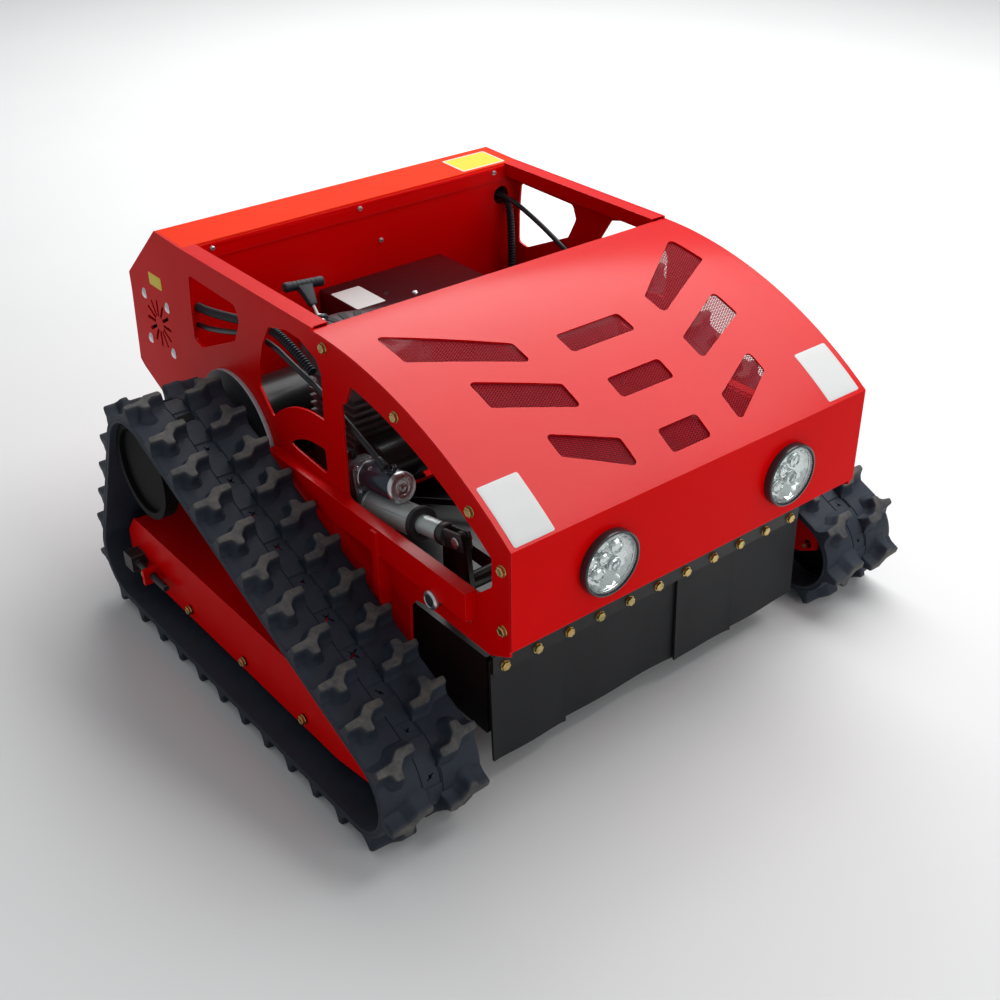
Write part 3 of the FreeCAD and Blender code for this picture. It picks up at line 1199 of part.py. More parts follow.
def lever_eye():
    lean = math.radians(mm("lever_lean"))
    size = mm("lever_length")
    return Vector(-mm("actuator_x"), mm("lift_shaft_y") + size * math.sin(lean),
                  mm("lift_shaft_z") + size * math.cos(lean))


def actuator_stand():
    """Fork for the actuator's rear pin, welded to the left plate."""
    rear = actuator_pin()
    tube, lug, pin = mm("actuator_tube_radius"), 2 * mm("sheet_thickness"), mm("pin_radius")
    gap = 0.4 * tube + mm("free_gap")
    plate = mm(INNER) - mm("actuator_x")
    front, low, high = -2.4 * pin, -tube, 2.6 * pin
    size = 1.2 * tube - front
    pieces = [Part.makeBox(lug, size, high - low, Vector(start, front, low)) for start in (-gap - lug, gap)]
    pieces.append(Part.makeBox(plate + gap + lug, size, lug, Vector(-plate, front, low - lug)))
    pieces.append(Part.makeBox(lug, size, high - low + lug, Vector(-plate, front, low - lug)))
    pieces.append(Part.makeCylinder(pin, 2 * (gap + lug), Vector(-gap - lug, 0, 0), Vector(1, 0, 0)))
    stand = pieces[0].fuse(pieces[1:])
    stand.translate(rear)
    return stand


def actuator_pin():
    return Vector(-mm("actuator_x"), mm("actuator_pin_y"), mm("actuator_pin_z"))


def make_actuator():
    """Linear actuator between its fork on the left plate and the lift lever."""
    rear = actuator_pin()
    line = lever_eye() - rear
    turn = Rotation(Vector(0, 0, 1), line)
    size, tube = mm("actuator_body_length"), mm("actuator_tube_radius")
    rod_radius, gap, pin = mm("actuator_rod_radius"), mm("running_gap"), mm("pin_radius")
    start, lift = 2 * tube, mm("actuator_motor_lift")
    body = Part.makeCylinder(tube, size - start, Vector(0, 0, start))
    gear = Part.makeBox(2 * tube, lift + 2 * tube, 0.95 * tube, Vector(-tube, -tube, 1.05 * tube))
    ears = Part.makeBox(tube * 0.8, 2.4 * pin, 1.5 * tube, Vector(-tube * 0.4, -1.2 * pin, -1.2 * pin))
    body = body.fuse([gear, ears])
    body = body.cut([Part.makeCylinder(rod_radius + gap, size, Vector(0, 0, mm("bore_seat"))),
                     Part.makeCylinder(pin + gap, 2 * tube, Vector(-tube, 0, 0), Vector(1, 0, 0))])
    can = Part.makeCylinder(mm("actuator_motor_radius"), mm("actuator_motor_length"), Vector(0, lift, start))
    length, seat, thick = line.Length, mm("rod_seat"), mm("lift_arm_thickness")
    near = thick / 2 + mm("free_gap")
    bar = Part.makeCylinder(rod_radius, length - 5 * pin - seat, Vector(0, 0, seat))
    corner = Vector(-near - thick / 2, -2 * pin, length - 6 * pin)
    pieces = [Part.makeBox(2 * near + thick, 4 * pin, 2 * pin, corner)]
    for low in (near, -near - thick / 2):
        pieces.append(Part.makeBox(thick / 2, 4 * pin, 8 * pin, Vector(low, -2 * pin, length - 6 * pin)))
    pin_end = Vector(-near - thick / 2, 0, length)
    pieces.append(Part.makeCylinder(pin, 2 * near + thick, pin_end, Vector(1, 0, 0)))
    bar = bar.fuse(pieces)
    for piece in (body, can, bar):
        piece.Placement = Placement(rear, turn)
    node("actuator_body", [own("actuator_tube", body), own("actuator_can", can)])
    node("actuator_rod", [own("actuator_bar", bar)])


# Engine and electrical pieces

def make_engine():
    """Vertical-shaft engine on its plate, with recoil starter, silencer and pulley."""
    centre = Vector(-mm("engine_x"), mm("engine_y"), 0)
    half = mm("engine_block") / 2
    low = mm("engine_plate_z") + mm("engine_plate_thickness")
    high = mm("engine_top")
    block = Part.makeBox(2 * half, 2 * half, 0.4 * (high - low), centre + Vector(-half, -half, low))
    upper = Part.makeBox(1.7 * half, 1.7 * half, 0.6 * (high - low),
                         centre + Vector(-0.85 * half, -0.85 * half, low + 0.4 * (high - low)))
    fins = []
    pitch = mm("bolt_head_width")
    for index in range(6):
        fins.append(Part.makeBox(2 * half, 2 * half, pitch / 3,
                                 centre + Vector(-half, -half, low + 0.45 * (high - low) + index * pitch)))
    crank_end = mm("pulley_z")
    crank = Part.makeCylinder(mm("crank_radius"), low + half / 2 - crank_end, centre + Vector(0, 0, crank_end))
    bore = Part.makeCylinder(mm("crank_radius") + mm("running_gap"), half / 2 + 1,
                             centre + Vector(0, 0, low - 1 / 2))
    node("engine_block", [own("engine_casting", block.fuse([upper] + fins).cut(bore))])
    wheel_piece = pulley(mm("engine_pulley"), mm("crank_radius"), centre)
    node("engine_pulley", [own("engine_pulley_body", crank.fuse(wheel_piece))])
    radius, tall = mm("recoil_radius"), mm("recoil_height")
    cover = Part.makeCylinder(radius, tall, centre + Vector(0, 0, high))
    rim = [edge for edge in cover.Edges if edge.BoundBox.ZMin > high + tall / 2]
    cover = cover.makeFillet(tall * 0.35, rim)
    eyelet, turn = rope_line()
    size = mm("eyelet_length")
    tube = Part.makeCylinder(mm("eyelet_radius"), size, Vector(0, 0, -size))
    channel = Part.makeCylinder(mm("rope_radius") + mm("free_gap"), 3 * size, Vector(0, 0, -2.5 * size))
    for piece in (tube, channel):
        piece.Placement = Placement(eyelet, turn)
    node("recoil_starter", [own("recoil_cover", cover.fuse(tube).cut(channel))])
    muffler = Part.makeCylinder(mm("muffler_radius"), mm("muffler_length"),
                                centre + Vector(-mm("muffler_length") / 2, -half - mm("muffler_radius"),
                                                low + 2 * mm("muffler_radius")), Vector(1, 0, 0))
    node("silencer", [own("silencer_can", muffler)])


PULL_SHARES = (0.1, 0.8, 0.59)


def rope_line():
    """Mouth of the rope eyelet and the direction in which the handle is pulled."""
    return (Vector(-mm("eyelet_x"), mm("eyelet_y"), mm("eyelet_z")),
            Rotation(Vector(0, 0, 1), Vector(*PULL_SHARES)))


def make_handle():
    """T-shaped starter handle on its rope."""
    eyelet, turn = rope_line()
    width, radius, stem = mm("handle_width"), mm("handle_radius"), mm("handle_stem")
    reach = mm("pull_reach")
    grip = Part.makeCylinder(radius, width, Vector(-width / 2, 0, reach), Vector(1, 0, 0))
    grip = grip.fuse(Part.makeCone(radius * 0.8, radius * 0.5, stem, Vector(0, 0, reach), Vector(0, 0, -1)))
    rope = Part.makeCylinder(mm("rope_radius"), reach - stem + mm("eyelet_length"),
                             Vector(0, 0, -mm("eyelet_length")))
    for piece in (grip, rope):
        piece.Placement = Placement(eyelet, turn)
    node("starter_handle", [own("starter_grip", grip)])
    node("starter_rope", [own("starter_rope_run", rope)])


def make_battery_box():
    """Box with a flat glossy lid between engine and bulkhead, and the battery inside."""
    low = "(floor_z + plate_thickness)"
    across = ("-box_left", "box_right")
    along = ("box_front", "bulkhead_y - free_gap")
    shell = box("battery_box_block", across, along, (low, "box_top"))
    hollow = box("battery_box_hollow", ("-box_left + box_wall", "box_right - box_wall"),
                 ("box_front + box_wall", "bulkhead_y - free_gap - box_wall"),
                 (f"{low} - box_wall", "box_top - box_wall"))
    node("battery_box", [cut("battery_box_shell", shell, [hollow])])
    cell = box("battery_block", ("-box_left + 3 * box_wall", "box_right - 3 * box_wall"),
               ("box_front + 3 * box_wall", "bulkhead_y - 3 * box_wall"),
               (low, "box_top - 5 * box_wall"))
    node("battery", [cell])


def make_tank():
    """Fuel tank with its screw cap, on the engine plate's right half."""
    low = "(engine_plate_z + engine_plate_thickness)"
    tank = box("tank_block", ("tank_left", "tank_left + tank_length"),
               ("engine_y - tank_depth / 2", "engine_y + tank_depth / 2"), (low, f"{low} + tank_height"))
    cap = rod("tank_cap_body", "2 * axle_radius + cut_overrun", "axle_radius + cut_overrun",
              "tank_left + tank_length / 2", "engine_y", f"{low} + tank_height")
    node("fuel_tank", [tank, cap])


def make_electronics():
    """Motor controllers and radio receiver on the bulkhead's rear face."""
    face = "(bulkhead_y + sheet_thickness)"
    boxes = []
    for word, side in SIDES.items():
        across = span(side, "controller_height / 4", "controller_height / 4 + controller_width")
        boxes.append(box("controller_" + word, across, (face, f"{face} + controller_depth"),
                         ("fan_z - controller_height / 2", "fan_z + controller_height / 2")))
    receiver = box("receiver_case", ("-controller_height / 2", "controller_height / 2"),
                   (face, f"{face} + controller_depth / 2"),
                   ("fan_z + 0.6 * controller_height", "fan_z + 1.1 * controller_height"))
    node("control_boxes", boxes + [receiver])


def make_fans():
    """Cooling fans behind the slots of the side plates."""
    frames = []
    axle = Vector(1, 0, 0)
    for word, side in SIDES.items():
        centre = Vector(0, mm("fan_y"), mm("fan_z"))
        half, depth = mm("fan_frame") / 2, mm("fan_depth")
        start = mm(INNER) - depth if side > 0 else -mm(INNER)
        frame = Part.makeBox(depth, 2 * half, 2 * half, Vector(start, centre.y - half, centre.z - half))
        bore = Part.makeCylinder(half - mm("box_wall") / 2, depth, Vector(start, centre.y, centre.z), axle)
        hub_start = start if side > 0 else start + depth * 0.8
        stay = Part.makeCylinder(mm("fan_hub_radius"), depth * 0.2, Vector(hub_start, centre.y, centre.z), axle)
        arms = []
        for turn in range(4):
            arm = Part.makeBox(depth * 0.16, mm("box_wall"), half, Vector(hub_start, -mm("box_wall") / 2, 0))
            arm.rotate(Vector(), axle, 45 + 90 * turn)
            arm.translate(centre)
            arms.append(arm.common(Part.makeBox(depth, 2 * half, 2 * half,
                                                Vector(start, centre.y - half, centre.z - half))))
        frame = frame.cut(bore).fuse([stay] + arms)
        holes = [Part.makeCylinder(mm("screw_radius"), depth, Vector(start, place.y, place.z), axle)
                 for place in fan_screw_places()]
        frames.append(own("fan_shroud_" + word, frame.cut(holes)))
        gap, close = depth * 0.08, mm("free_gap")
        near = start + depth * 0.2 + close if side > 0 else start + gap
        length = depth * 0.8 - gap - close
        rotor = Part.makeCylinder(mm("fan_hub_radius"), length, Vector(near, centre.y, centre.z), axle)
        for index in range(round(mm("fan_blades"))):
            root = mm("fan_hub_radius") / 2
            blade = Part.makeBox(length * 0.9, mm("box_wall") / 2, mm("fan_blade_radius") - root,
                                 Vector(-length * 0.45, 0, root))
            blade.rotate(Vector(), Vector(0, 0, 1), 50)
            trim = Part.makeBox(length, half * 2, half * 2, Vector(-length / 2, -half, 0))
            blade = blade.common(trim)
            blade.rotate(Vector(), axle, 360 * index / mm("fan_blades"))
            blade.translate(Vector(near + length / 2, centre.y, centre.z))
            rotor = rotor.fuse(blade)
        node("fan_rotor_" + word, [own("fan_wheel_" + word, rotor)])
    node("fan_frames", frames)


# Conduits along the side plates: places as shares of body width, body length and hood height

RIGHT_CONDUIT_SHARES = [(0.4551, 0.8494, 0.9065), (0.4603, 0.7703, 0.9065), (0.4662, 0.7703, 0.4391)]
RIGHT_LOOM_SHARES = [
    (0.4353, 0.8735, 0.9215), (0.4397, 0.7722, 0.9215), (0.4794, 0.7143, 0.8548), (0.4794, 0.6178, 0.7846),
    (0.4794, 0.5019, 0.7346), (0.4794, 0.4826, 0.4493),
]
LEFT_CONDUIT_SHARES = [
    (-0.4735, 0.7874, 0.8347), (-0.4735, 0.7606, 0.8347), (-0.4735, 0.5792, 0.9048),
    (-0.4735, 0.5212, 0.9048), (-0.4735, 0.4537, 0.8581),
]
LEFT_LOOM_SHARES = [
    (-0.4779, 0.7874, 0.7846), (-0.4779, 0.7606, 0.7846), (-0.4779, 0.5792, 0.8798),
    (-0.4779, 0.4826, 0.8414), (-0.4779, 0.4151, 0.8214), (-0.4779, 0.2896, 0.7346),
]
BEND_SHARE = 0.45
RIB_SHARES = (0, 0.2, 0.6, 0.8)


def along(edges, distance):
    """The point and the direction at a distance along a row of edges."""
    for edge in edges:
        if distance <= edge.Length:
            break
        distance -= edge.Length
    place = edge.getParameterByLength(min(distance, edge.Length))
    return edge.valueAt(place), edge.tangentAt(place)


def level_ring(point, direction, radius):
    """A circle across the hose whose start lies on a steady sideways axis."""
    ring = Part.Circle(point, direction, radius)
    ring.XAxis = direction.cross(Vector(1, 0, 0)).normalize().cross(direction)
    return Part.Wire(ring.toShape())


def ribbed_tube(edges, path, radius):
    """A split conduit: round ribs with narrow grooves between them, and an open bore."""
    valley, bore = radius - mm("rib_height"), mm("conduit_bore")
    count = round(path.Length / mm("rib_pitch"))
    step = path.Length / count
    rings = []
    for number in range(count):
        for share, size in zip(RIB_SHARES, (valley, radius, radius, valley)):
            point, direction = along(edges, (number + share) * step)
            rings.append(level_ring(point, direction, size))
    point, direction = along(edges, path.Length)
    rings.append(level_ring(point, direction, valley))
    outside = Part.makeLoft(rings, True, True)
    point, direction = along(edges, 0)
    inside = path.makePipeShell([level_ring(point, direction, bore)], True, True)
    print("ribs", count, "pitch", round(step, 2))
    return outside.cut(inside)


def hose(name, places, radius, ribs=False):
    """Straight runs joined by tangent arcs, with a round section."""
    points = [Vector(a * mm("body_width"), b * mm("body_length"), c * mm("hood_top")) for a, b, c in places]
    edges, start = [], points[0]
    for before, corner, after in zip(points, points[1:], points[2:]):
        back, ahead = before - corner, after - corner
        reach = BEND_SHARE * min(back.Length, ahead.Length)
        back.normalize()
        ahead.normalize()
        half = back.getAngle(ahead) / 2
        size = reach * math.tan(half)
        middle = (back + ahead).normalize()
        first, last = corner + back * reach, corner + ahead * reach
        edges.append(Part.LineSegment(start, first).toShape())
        edges.append(Part.Arc(first, corner + middle * (size / math.sin(half) - size), last).toShape())
        start = last
        print(name, "bend radius", round(size, 1), "for a diameter of", 2 * radius)
    edges.append(Part.LineSegment(start, points[-1]).toShape())
    path = Part.Wire(edges)
    if ribs:
        return own(name, ribbed_tube(edges, path, radius))
    section = Part.Wire(Part.makeCircle(radius, points[0], points[1] - points[0]))
    solid = path.makePipeShell([section], True, True)
    share = solid.Volume / (math.pi * radius ** 2 * path.Length)
    print(name, "volume against section times length", round(share, 4))
    return own(name, solid)


def make_conduits():
    thick, thin = mm("conduit_radius"), mm("loom_radius")
    node("wiring_conduits", [
        hose("right_conduit", RIGHT_CONDUIT_SHARES, thick, True), hose("right_loom", RIGHT_LOOM_SHARES, thin),
        hose("left_conduit", LEFT_CONDUIT_SHARES, thick, True), hose("left_loom", LEFT_LOOM_SHARES, thin),
    ])


def build():
    make_side_plates()
    make_side_sills()
    make_top_rails()
    make_frame_members()
    make_rear_box()
    make_hood()
    make_hood_mesh()
    make_fasteners()
    make_lamps()
    make_tracks()
    make_wheels()
    make_sprockets()
    make_travel_motors()
    make_track_frames()
    make_track_bolts()
    make_tensioners()
    make_deck()
    make_flap()
    make_blade()
    make_drive_belt()
    make_lift()
    make_actuator()
    make_engine()
    make_handle()
    make_battery_box()
    make_tank()
    make_electronics()
    make_fans()
    make_conduits()


def check():
    """Stop if any object failed or any sub-part is empty or broken."""
    for piece in doc.Objects:
        if "Invalid" in piece.State or "Error" in piece.State:
            raise RuntimeError(f"{piece.Name} failed: {piece.State}")
    for label, piece in NODES.items():
        shape = piece.Shape
        if shape.isNull() or not shape.isValid() or not shape.Solids:
            raise RuntimeError(f"{label} has no valid solid")


def export():
    os.makedirs("parts", exist_ok=True)
    for label, piece in NODES.items():
        piece.Shape.exportStep(f"parts/{label}.step")


build()
doc.recompute()
check()
export()
print(len(NODES), "nodes")
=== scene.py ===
import bpy
import bmesh
import json
import math
import random
from mathutils import Matrix, Vector

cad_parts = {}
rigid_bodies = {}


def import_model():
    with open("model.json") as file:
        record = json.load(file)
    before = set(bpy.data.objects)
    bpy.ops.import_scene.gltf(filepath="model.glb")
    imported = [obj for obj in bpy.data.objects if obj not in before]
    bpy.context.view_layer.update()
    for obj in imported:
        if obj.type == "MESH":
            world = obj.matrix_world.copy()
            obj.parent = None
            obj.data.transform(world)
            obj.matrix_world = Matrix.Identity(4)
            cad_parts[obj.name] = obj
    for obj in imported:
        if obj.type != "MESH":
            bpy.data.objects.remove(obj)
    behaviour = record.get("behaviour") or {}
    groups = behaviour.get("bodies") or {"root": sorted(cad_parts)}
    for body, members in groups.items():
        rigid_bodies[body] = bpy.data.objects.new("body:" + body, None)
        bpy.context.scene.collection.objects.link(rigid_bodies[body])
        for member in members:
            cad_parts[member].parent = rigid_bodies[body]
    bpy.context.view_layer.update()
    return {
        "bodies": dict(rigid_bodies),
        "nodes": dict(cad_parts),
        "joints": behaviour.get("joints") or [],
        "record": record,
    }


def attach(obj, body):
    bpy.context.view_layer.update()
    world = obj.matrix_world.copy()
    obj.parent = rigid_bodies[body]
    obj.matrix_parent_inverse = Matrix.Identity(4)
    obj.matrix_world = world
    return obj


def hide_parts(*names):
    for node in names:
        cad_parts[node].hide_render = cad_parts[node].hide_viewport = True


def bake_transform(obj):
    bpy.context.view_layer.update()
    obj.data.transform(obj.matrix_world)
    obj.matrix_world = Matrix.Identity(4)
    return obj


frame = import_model()
NODES = frame["nodes"]

# The part's own frame has its origin on the ground under its middle; this is the body's front face, in metres
FORWARD = -0.512
SIDES = (("left", -1), ("right", 1))
ACROSS = Vector((1, 0, 0))
RISE = Vector((0, 0, 1))
FRONT = Vector((0, -1, 0))


def spot(x, y, z):
    """A point given in millimetres, with y counted from the body's front face."""
    return Vector((x / 1000, y / 1000 + FORWARD, z / 1000))


def turns(count, first=0.0):
    """Equal angles round a circle."""
    return [2 * math.pi * step / count + first for step in range(count)]


def level(turn):
    """The level direction at an angle."""
    return Vector((math.cos(turn), math.sin(turn), 0))


def add_object(name, data):
    item = bpy.data.objects.new(name, data)
    bpy.context.scene.collection.objects.link(item)
    return item


# The camera, solved from the photograph.
def add_camera():
    azimuth = math.radians(-38.602)
    elevation = math.radians(31.794)
    roll = math.radians(-0.5736)
    back = Vector((math.sin(azimuth) * math.cos(elevation), -math.cos(azimuth) * math.cos(elevation),
                   math.sin(elevation)))
    right = (-back).cross(RISE).normalized()
    up = right.cross(-back)
    across = right * math.cos(roll) + up * math.sin(roll)
    above = up * math.cos(roll) - right * math.sin(roll)
    data = bpy.data.cameras.new("camera")
    data.sensor_width = 36.0
    data.lens = 49.03
    data.clip_start = 0.05
    data.clip_end = 100.0
    camera = add_object("camera", data)
    turn = Matrix((across, above, back)).transposed().to_4x4()
    camera.matrix_world = Matrix.Translation(Vector((-1.2090, -1.5797, 1.3841))) @ turn
    bpy.context.scene.camera = camera


# Materials
SOCKETS = {"Ior": "IOR", "Specular": "Specular IOR Level", "Coat": "Coat Weight", "Sheen": "Sheen Weight",
           "Metal": "Metallic", "Rough": "Roughness"}


class Look:
    """A principled material, built from small steps."""

    def __init__(self, name, **values):
        self.material = bpy.data.materials.new(name)
        self.material.use_nodes = True
        self.tree = self.material.node_tree
        self.shader = self.tree.nodes["Principled BSDF"]
        self.place = self.tree.nodes.new("ShaderNodeTexCoord").outputs["Object"]
        for key, value in values.items():
            self.set(key.replace("_", " ").title(), value)

    def feed(self, socket, value):
        """Link an output to a socket, or set its number or colour."""
        if hasattr(value, "is_output"):
            self.tree.links.new(value, socket)
        elif socket.type == "RGBA":
            socket.default_value = (*value, 1.0)
        else:
            socket.default_value = value

    def set(self, key, value):
        self.feed(self.shader.inputs[SOCKETS.get(key, key)], value)

    def add(self, kind, **inputs):
        node = self.tree.nodes.new("ShaderNode" + kind)
        for key, value in inputs.items():
            self.feed(node.inputs[key.replace("_", " ")], value)
        return node

    def stretched(self, scale):
        """Coordinates scaled by three numbers."""
        return self.add("Mapping", Vector=self.place, Scale=scale).outputs[0]

    def noise(self, scale, detail=3.0, rough=0.55, vector=None):
        node = self.add("TexNoise", Vector=vector or self.place, Scale=scale, Detail=detail, Roughness=rough)
        return node.outputs["Fac"]

    def steps(self, value, *stops):
        """A ramp: pairs of a place and a grey or a colour."""
        node = self.add("ValToRGB", Fac=value)
        ramp = node.color_ramp
        while len(ramp.elements) < len(stops):
            ramp.elements.new(0.5)
        for element, (at, colour) in zip(ramp.elements, stops):
            element.position = at
            element.color = (*(colour if hasattr(colour, "__len__") else [colour] * 3), 1.0)
        return node.outputs[0]

    def math(self, kind, *values):
        node = self.add("Math")
        node.operation = kind
        node.use_clamp = kind == "ADD"
        for socket, value in zip(node.inputs, values):
            self.feed(socket, value)
        return node.outputs[0]

    def raised(self, least, value, share):
        """A number plus a share of a value."""
        return self.math("ADD", least, self.math("MULTIPLY", value, share))

    def mix(self, share, first, second):
        node = self.add("Mix")
        node.data_type = "RGBA"
        for socket, value in zip((node.inputs[0], node.inputs[6], node.inputs[7]), (share, first, second)):
            self.feed(socket, value)
        return node.outputs[2]

    def spread(self, value, low, high):
        """0 where a value is below low, 1 where it is above high."""
        return self.add("MapRange", Value=value, From_Min=low, From_Max=high).outputs[0]

    def facing(self, axis):
        """One part of the surface's direction."""
        return self.add("SeparateXYZ", Vector=self.add("NewGeometry").outputs["Normal"]).outputs[axis]

    def up_share(self, low, high):
        """How far the surface faces up."""
        return self.spread(self.facing(2), low, high)

    def edges(self, radius):
        """Near 1 along sharp edges: where the rounded normal leaves the flat one."""
        soft = self.add("Bevel", Radius=radius)
        soft.samples = 4
        dot = self.add("VectorMath")
        dot.operation = "DOT_PRODUCT"
        self.feed(dot.inputs[0], soft.outputs[0])
        self.feed(dot.inputs[1], self.add("NewGeometry").outputs["Normal"])
        return self.spread(self.math("SUBTRACT", 1.0, dot.outputs["Value"]), 0.02, 0.25)

    def bump(self, height, strength, distance, before=None):
        node = self.add("Bump", Height=height, Strength=strength, Distance=distance)
        if before is not None:
            self.feed(node.inputs["Normal"], before)
        return node.outputs[0]

    def dress(self, tone, rough=None, bump=None):
        """Set the colour, then an uneven roughness and fine bumps; noises are given by scale and detail."""
        if not hasattr(tone, "is_output"):
            tone = self.mix(self.noise(*tone[0]), tone[1], tone[2])
        self.set("Base Color", tone)
        if rough:
            self.set("Rough", self.raised(rough[0], self.noise(*rough[1]), rough[2]))
        if bump:
            self.set("Normal", self.bump(self.noise(*bump[0]), bump[1], bump[2]))
        return self.material


def paint(name, base, deep, shine, coat, dust):
    """Glossy sprayed paint: a slow change of tone, orange peel, light dust, edges lightened partly as wear
    and partly as a painted highlight, and a clear coat that is strong only on faces looking up, a painted
    sheen on the tops.
    """
    look = Look(name, rough=shine, coat_roughness=0.16, specular=0.03)
    # The clear coat is far stronger on faces that look up than on the sides, so that only the tops catch a
    # sheen: a painted sheen.
    look.set("Coat", look.raised(0.015, look.up_share(0.12, 0.55), coat))
    tone = look.mix(look.steps(look.noise(3.0, 3), (0.3, 0.0), (0.7, 1.0)), deep, base)
    specks = look.steps(look.noise(9.0, 6, 0.7), (0.5, 0.0), (0.85, dust))
    tone = look.mix(look.math("MULTIPLY", look.up_share(0.3, 1.0), specks), tone, (0.62, 0.12, 0.08))
    # Sharp edges are mixed towards a paler red: partly wear, partly a painted highlight along the edges.
    worn = look.math("MULTIPLY", look.edges(0.0016), 0.5)
    look.set("Base Color", look.mix(worn, tone, [min(1.0, 1.25 * part + 0.06) for part in base]))
    look.set("Rough", look.raised(shine, look.steps(look.noise(22.0, 5), (0.35, 0.0), (0.8, 1.0)), 0.10))
    peel = look.bump(look.noise(420.0, 2), 0.06, 0.0006)
    look.set("Normal", look.bump(look.noise(60.0, 2), 0.05, 0.0012, peel))
    return look.material


# Plain looks: a key, a name and settings, then the noise and the two colours of the tone, the least
# roughness with its noise and share, and the noise, strength and depth of the bumps
PLAIN_LOOKS = (
    ("wheel", "wheel_nylon", dict(rough=0.7, specular=0.1),
     ((25.0, 4), (0.002, 0.002, 0.003), (0.008, 0.0075, 0.007)), None, ((300.0, 3), 0.2, 0.0005)),
    ("silver", "silver_zinc", dict(metal=1.0, rough=0.28),
     ((60.0, 3), (0.55, 0.56, 0.58), (0.8, 0.8, 0.8)), (0.2, (160.0, 4), 0.22), None),
    ("black_steel", "black_steel", dict(rough=0.34, coat=0.12, coat_roughness=0.15, specular=0.25),
     ((18.0, 4), (0.003, 0.003, 0.004), (0.011, 0.0105, 0.011)), (0.26, (30.0, 5, 0.7), 0.22),
     ((380.0, 2), 0.1, 0.0005)),
    ("grey_steel", "grey_steel", dict(metal=0.85, rough=0.4),
     ((20.0, 5), (0.2, 0.205, 0.215), (0.34, 0.345, 0.355)), (0.32, (90.0, 4), 0.25),
     ((200.0, 4), 0.12, 0.0004)),
    ("engine", "cast_engine", dict(metal=0.6, rough=0.55),
     ((30.0, 5), (0.1, 0.1, 0.105), (0.24, 0.24, 0.245)), None, ((600.0, 3), 0.4, 0.0006)),
    ("plastic", "black_plastic", dict(rough=0.42),
     ((35.0, 4), (0.01, 0.0105, 0.012), (0.024, 0.025, 0.028)), None, ((700.0, 3), 0.3, 0.0004)),
    ("handle", "handle_rubber", dict(rough=0.48, specular=0.3),
     ((30.0, 4), (0.006, 0.008, 0.012), (0.016, 0.02, 0.027)), None, ((800.0, 3), 0.25, 0.0003)),
    ("gloss", "black_gloss", dict(rough=0.12, coat=0.4, coat_roughness=0.05),
     ((8.0, 3), (0.011, 0.004, 0.006), (0.02, 0.01, 0.012)), (0.08, (26.0, 5), 0.12),
     ((300.0, 2), 0.04, 0.0004)),
    ("mesh", "mesh_paint", dict(rough=0.5, specular=0.12),
     ((40.0, 3), (0.26, 0.001, 0.008), (0.36, 0.002, 0.012)), None, None),
    ("lamp_body", "lamp_body", dict(rough=0.25, coat=0.2),
     ((30.0, 3), (0.01, 0.011, 0.013), (0.022, 0.024, 0.028)), None, ((500.0, 2), 0.08, 0.0004)),
    ("chrome", "reflector", dict(metal=1.0, rough=0.07),
     ((60.0, 2), (0.6, 0.67, 0.65), (0.88, 0.92, 0.9)), (0.05, (150.0, 3), 0.08), None),
    ("motor_blue", "motor_blue", dict(metal=0.35, rough=0.3, coat=0.3, coat_roughness=0.12),
     ((26.0, 5), (0.01, 0.019, 0.03), (0.026, 0.046, 0.068)), (0.2, (44.0, 5, 0.7), 0.25), None),
    ("clevis", "clevis_black", dict(rough=0.42, coat=0.2, coat_roughness=0.2),
     ((40.0, 4), (0.006, 0.006, 0.007), (0.02, 0.02, 0.021)), (0.3, (60.0, 4), 0.25), None),
    ("seal", "seal", dict(rough=0.5),
     ((40.0, 3), (0.012, 0.012, 0.014), (0.03, 0.03, 0.033)), None, ((500.0, 2), 0.15, 0.0004)),
    ("cable", "cable", dict(rough=0.36, specular=0.35),
     ((30.0, 3), (0.006, 0.007, 0.009), (0.015, 0.017, 0.021)), None, ((240.0, 3), 0.1, 0.0005)),
    ("hose", "hose", dict(rough=0.4, specular=0.35),
     ((22.0, 4), (0.005, 0.006, 0.009), (0.014, 0.017, 0.023)), (0.32, (60.0, 4), 0.2), None),
    ("starter_black", "starter_black", dict(rough=0.38, coat=0.15, coat_roughness=0.2),
     ((20.0, 4), (0.016, 0.018, 0.022), (0.042, 0.045, 0.052)), None, ((500.0, 3), 0.18, 0.0004)),
    ("tank", "tank_plastic", dict(rough=0.45),
     ((20.0, 4), (0.014, 0.015, 0.017), (0.035, 0.036, 0.04)), None, ((420.0, 3), 0.25, 0.0005)),
    # Near-black fill for the recoil cover's vent slots: painted shade in place of the openings.
    ("vent_dark", "vent_dark", dict(rough=0.7), ((50.0, 3), (0.002, 0.002, 0.003), (0.008, 0.008, 0.009)),
     None, None),
    ("label_white", "label_white", dict(rough=0.4, specular=0.2),
     ((24.0, 4), (0.66, 0.66, 0.65), (0.6, 0.6, 0.585)), (0.28, (40.0, 4), 0.15), ((300.0, 2), 0.05, 0.0003)),
    ("label_yellow", "label_yellow", dict(rough=0.4, specular=0.2),
     ((24.0, 4), (0.76, 0.58, 0.008), (0.7, 0.53, 0.006)), (0.28, (40.0, 4), 0.15),
     ((300.0, 2), 0.05, 0.0003)),
)


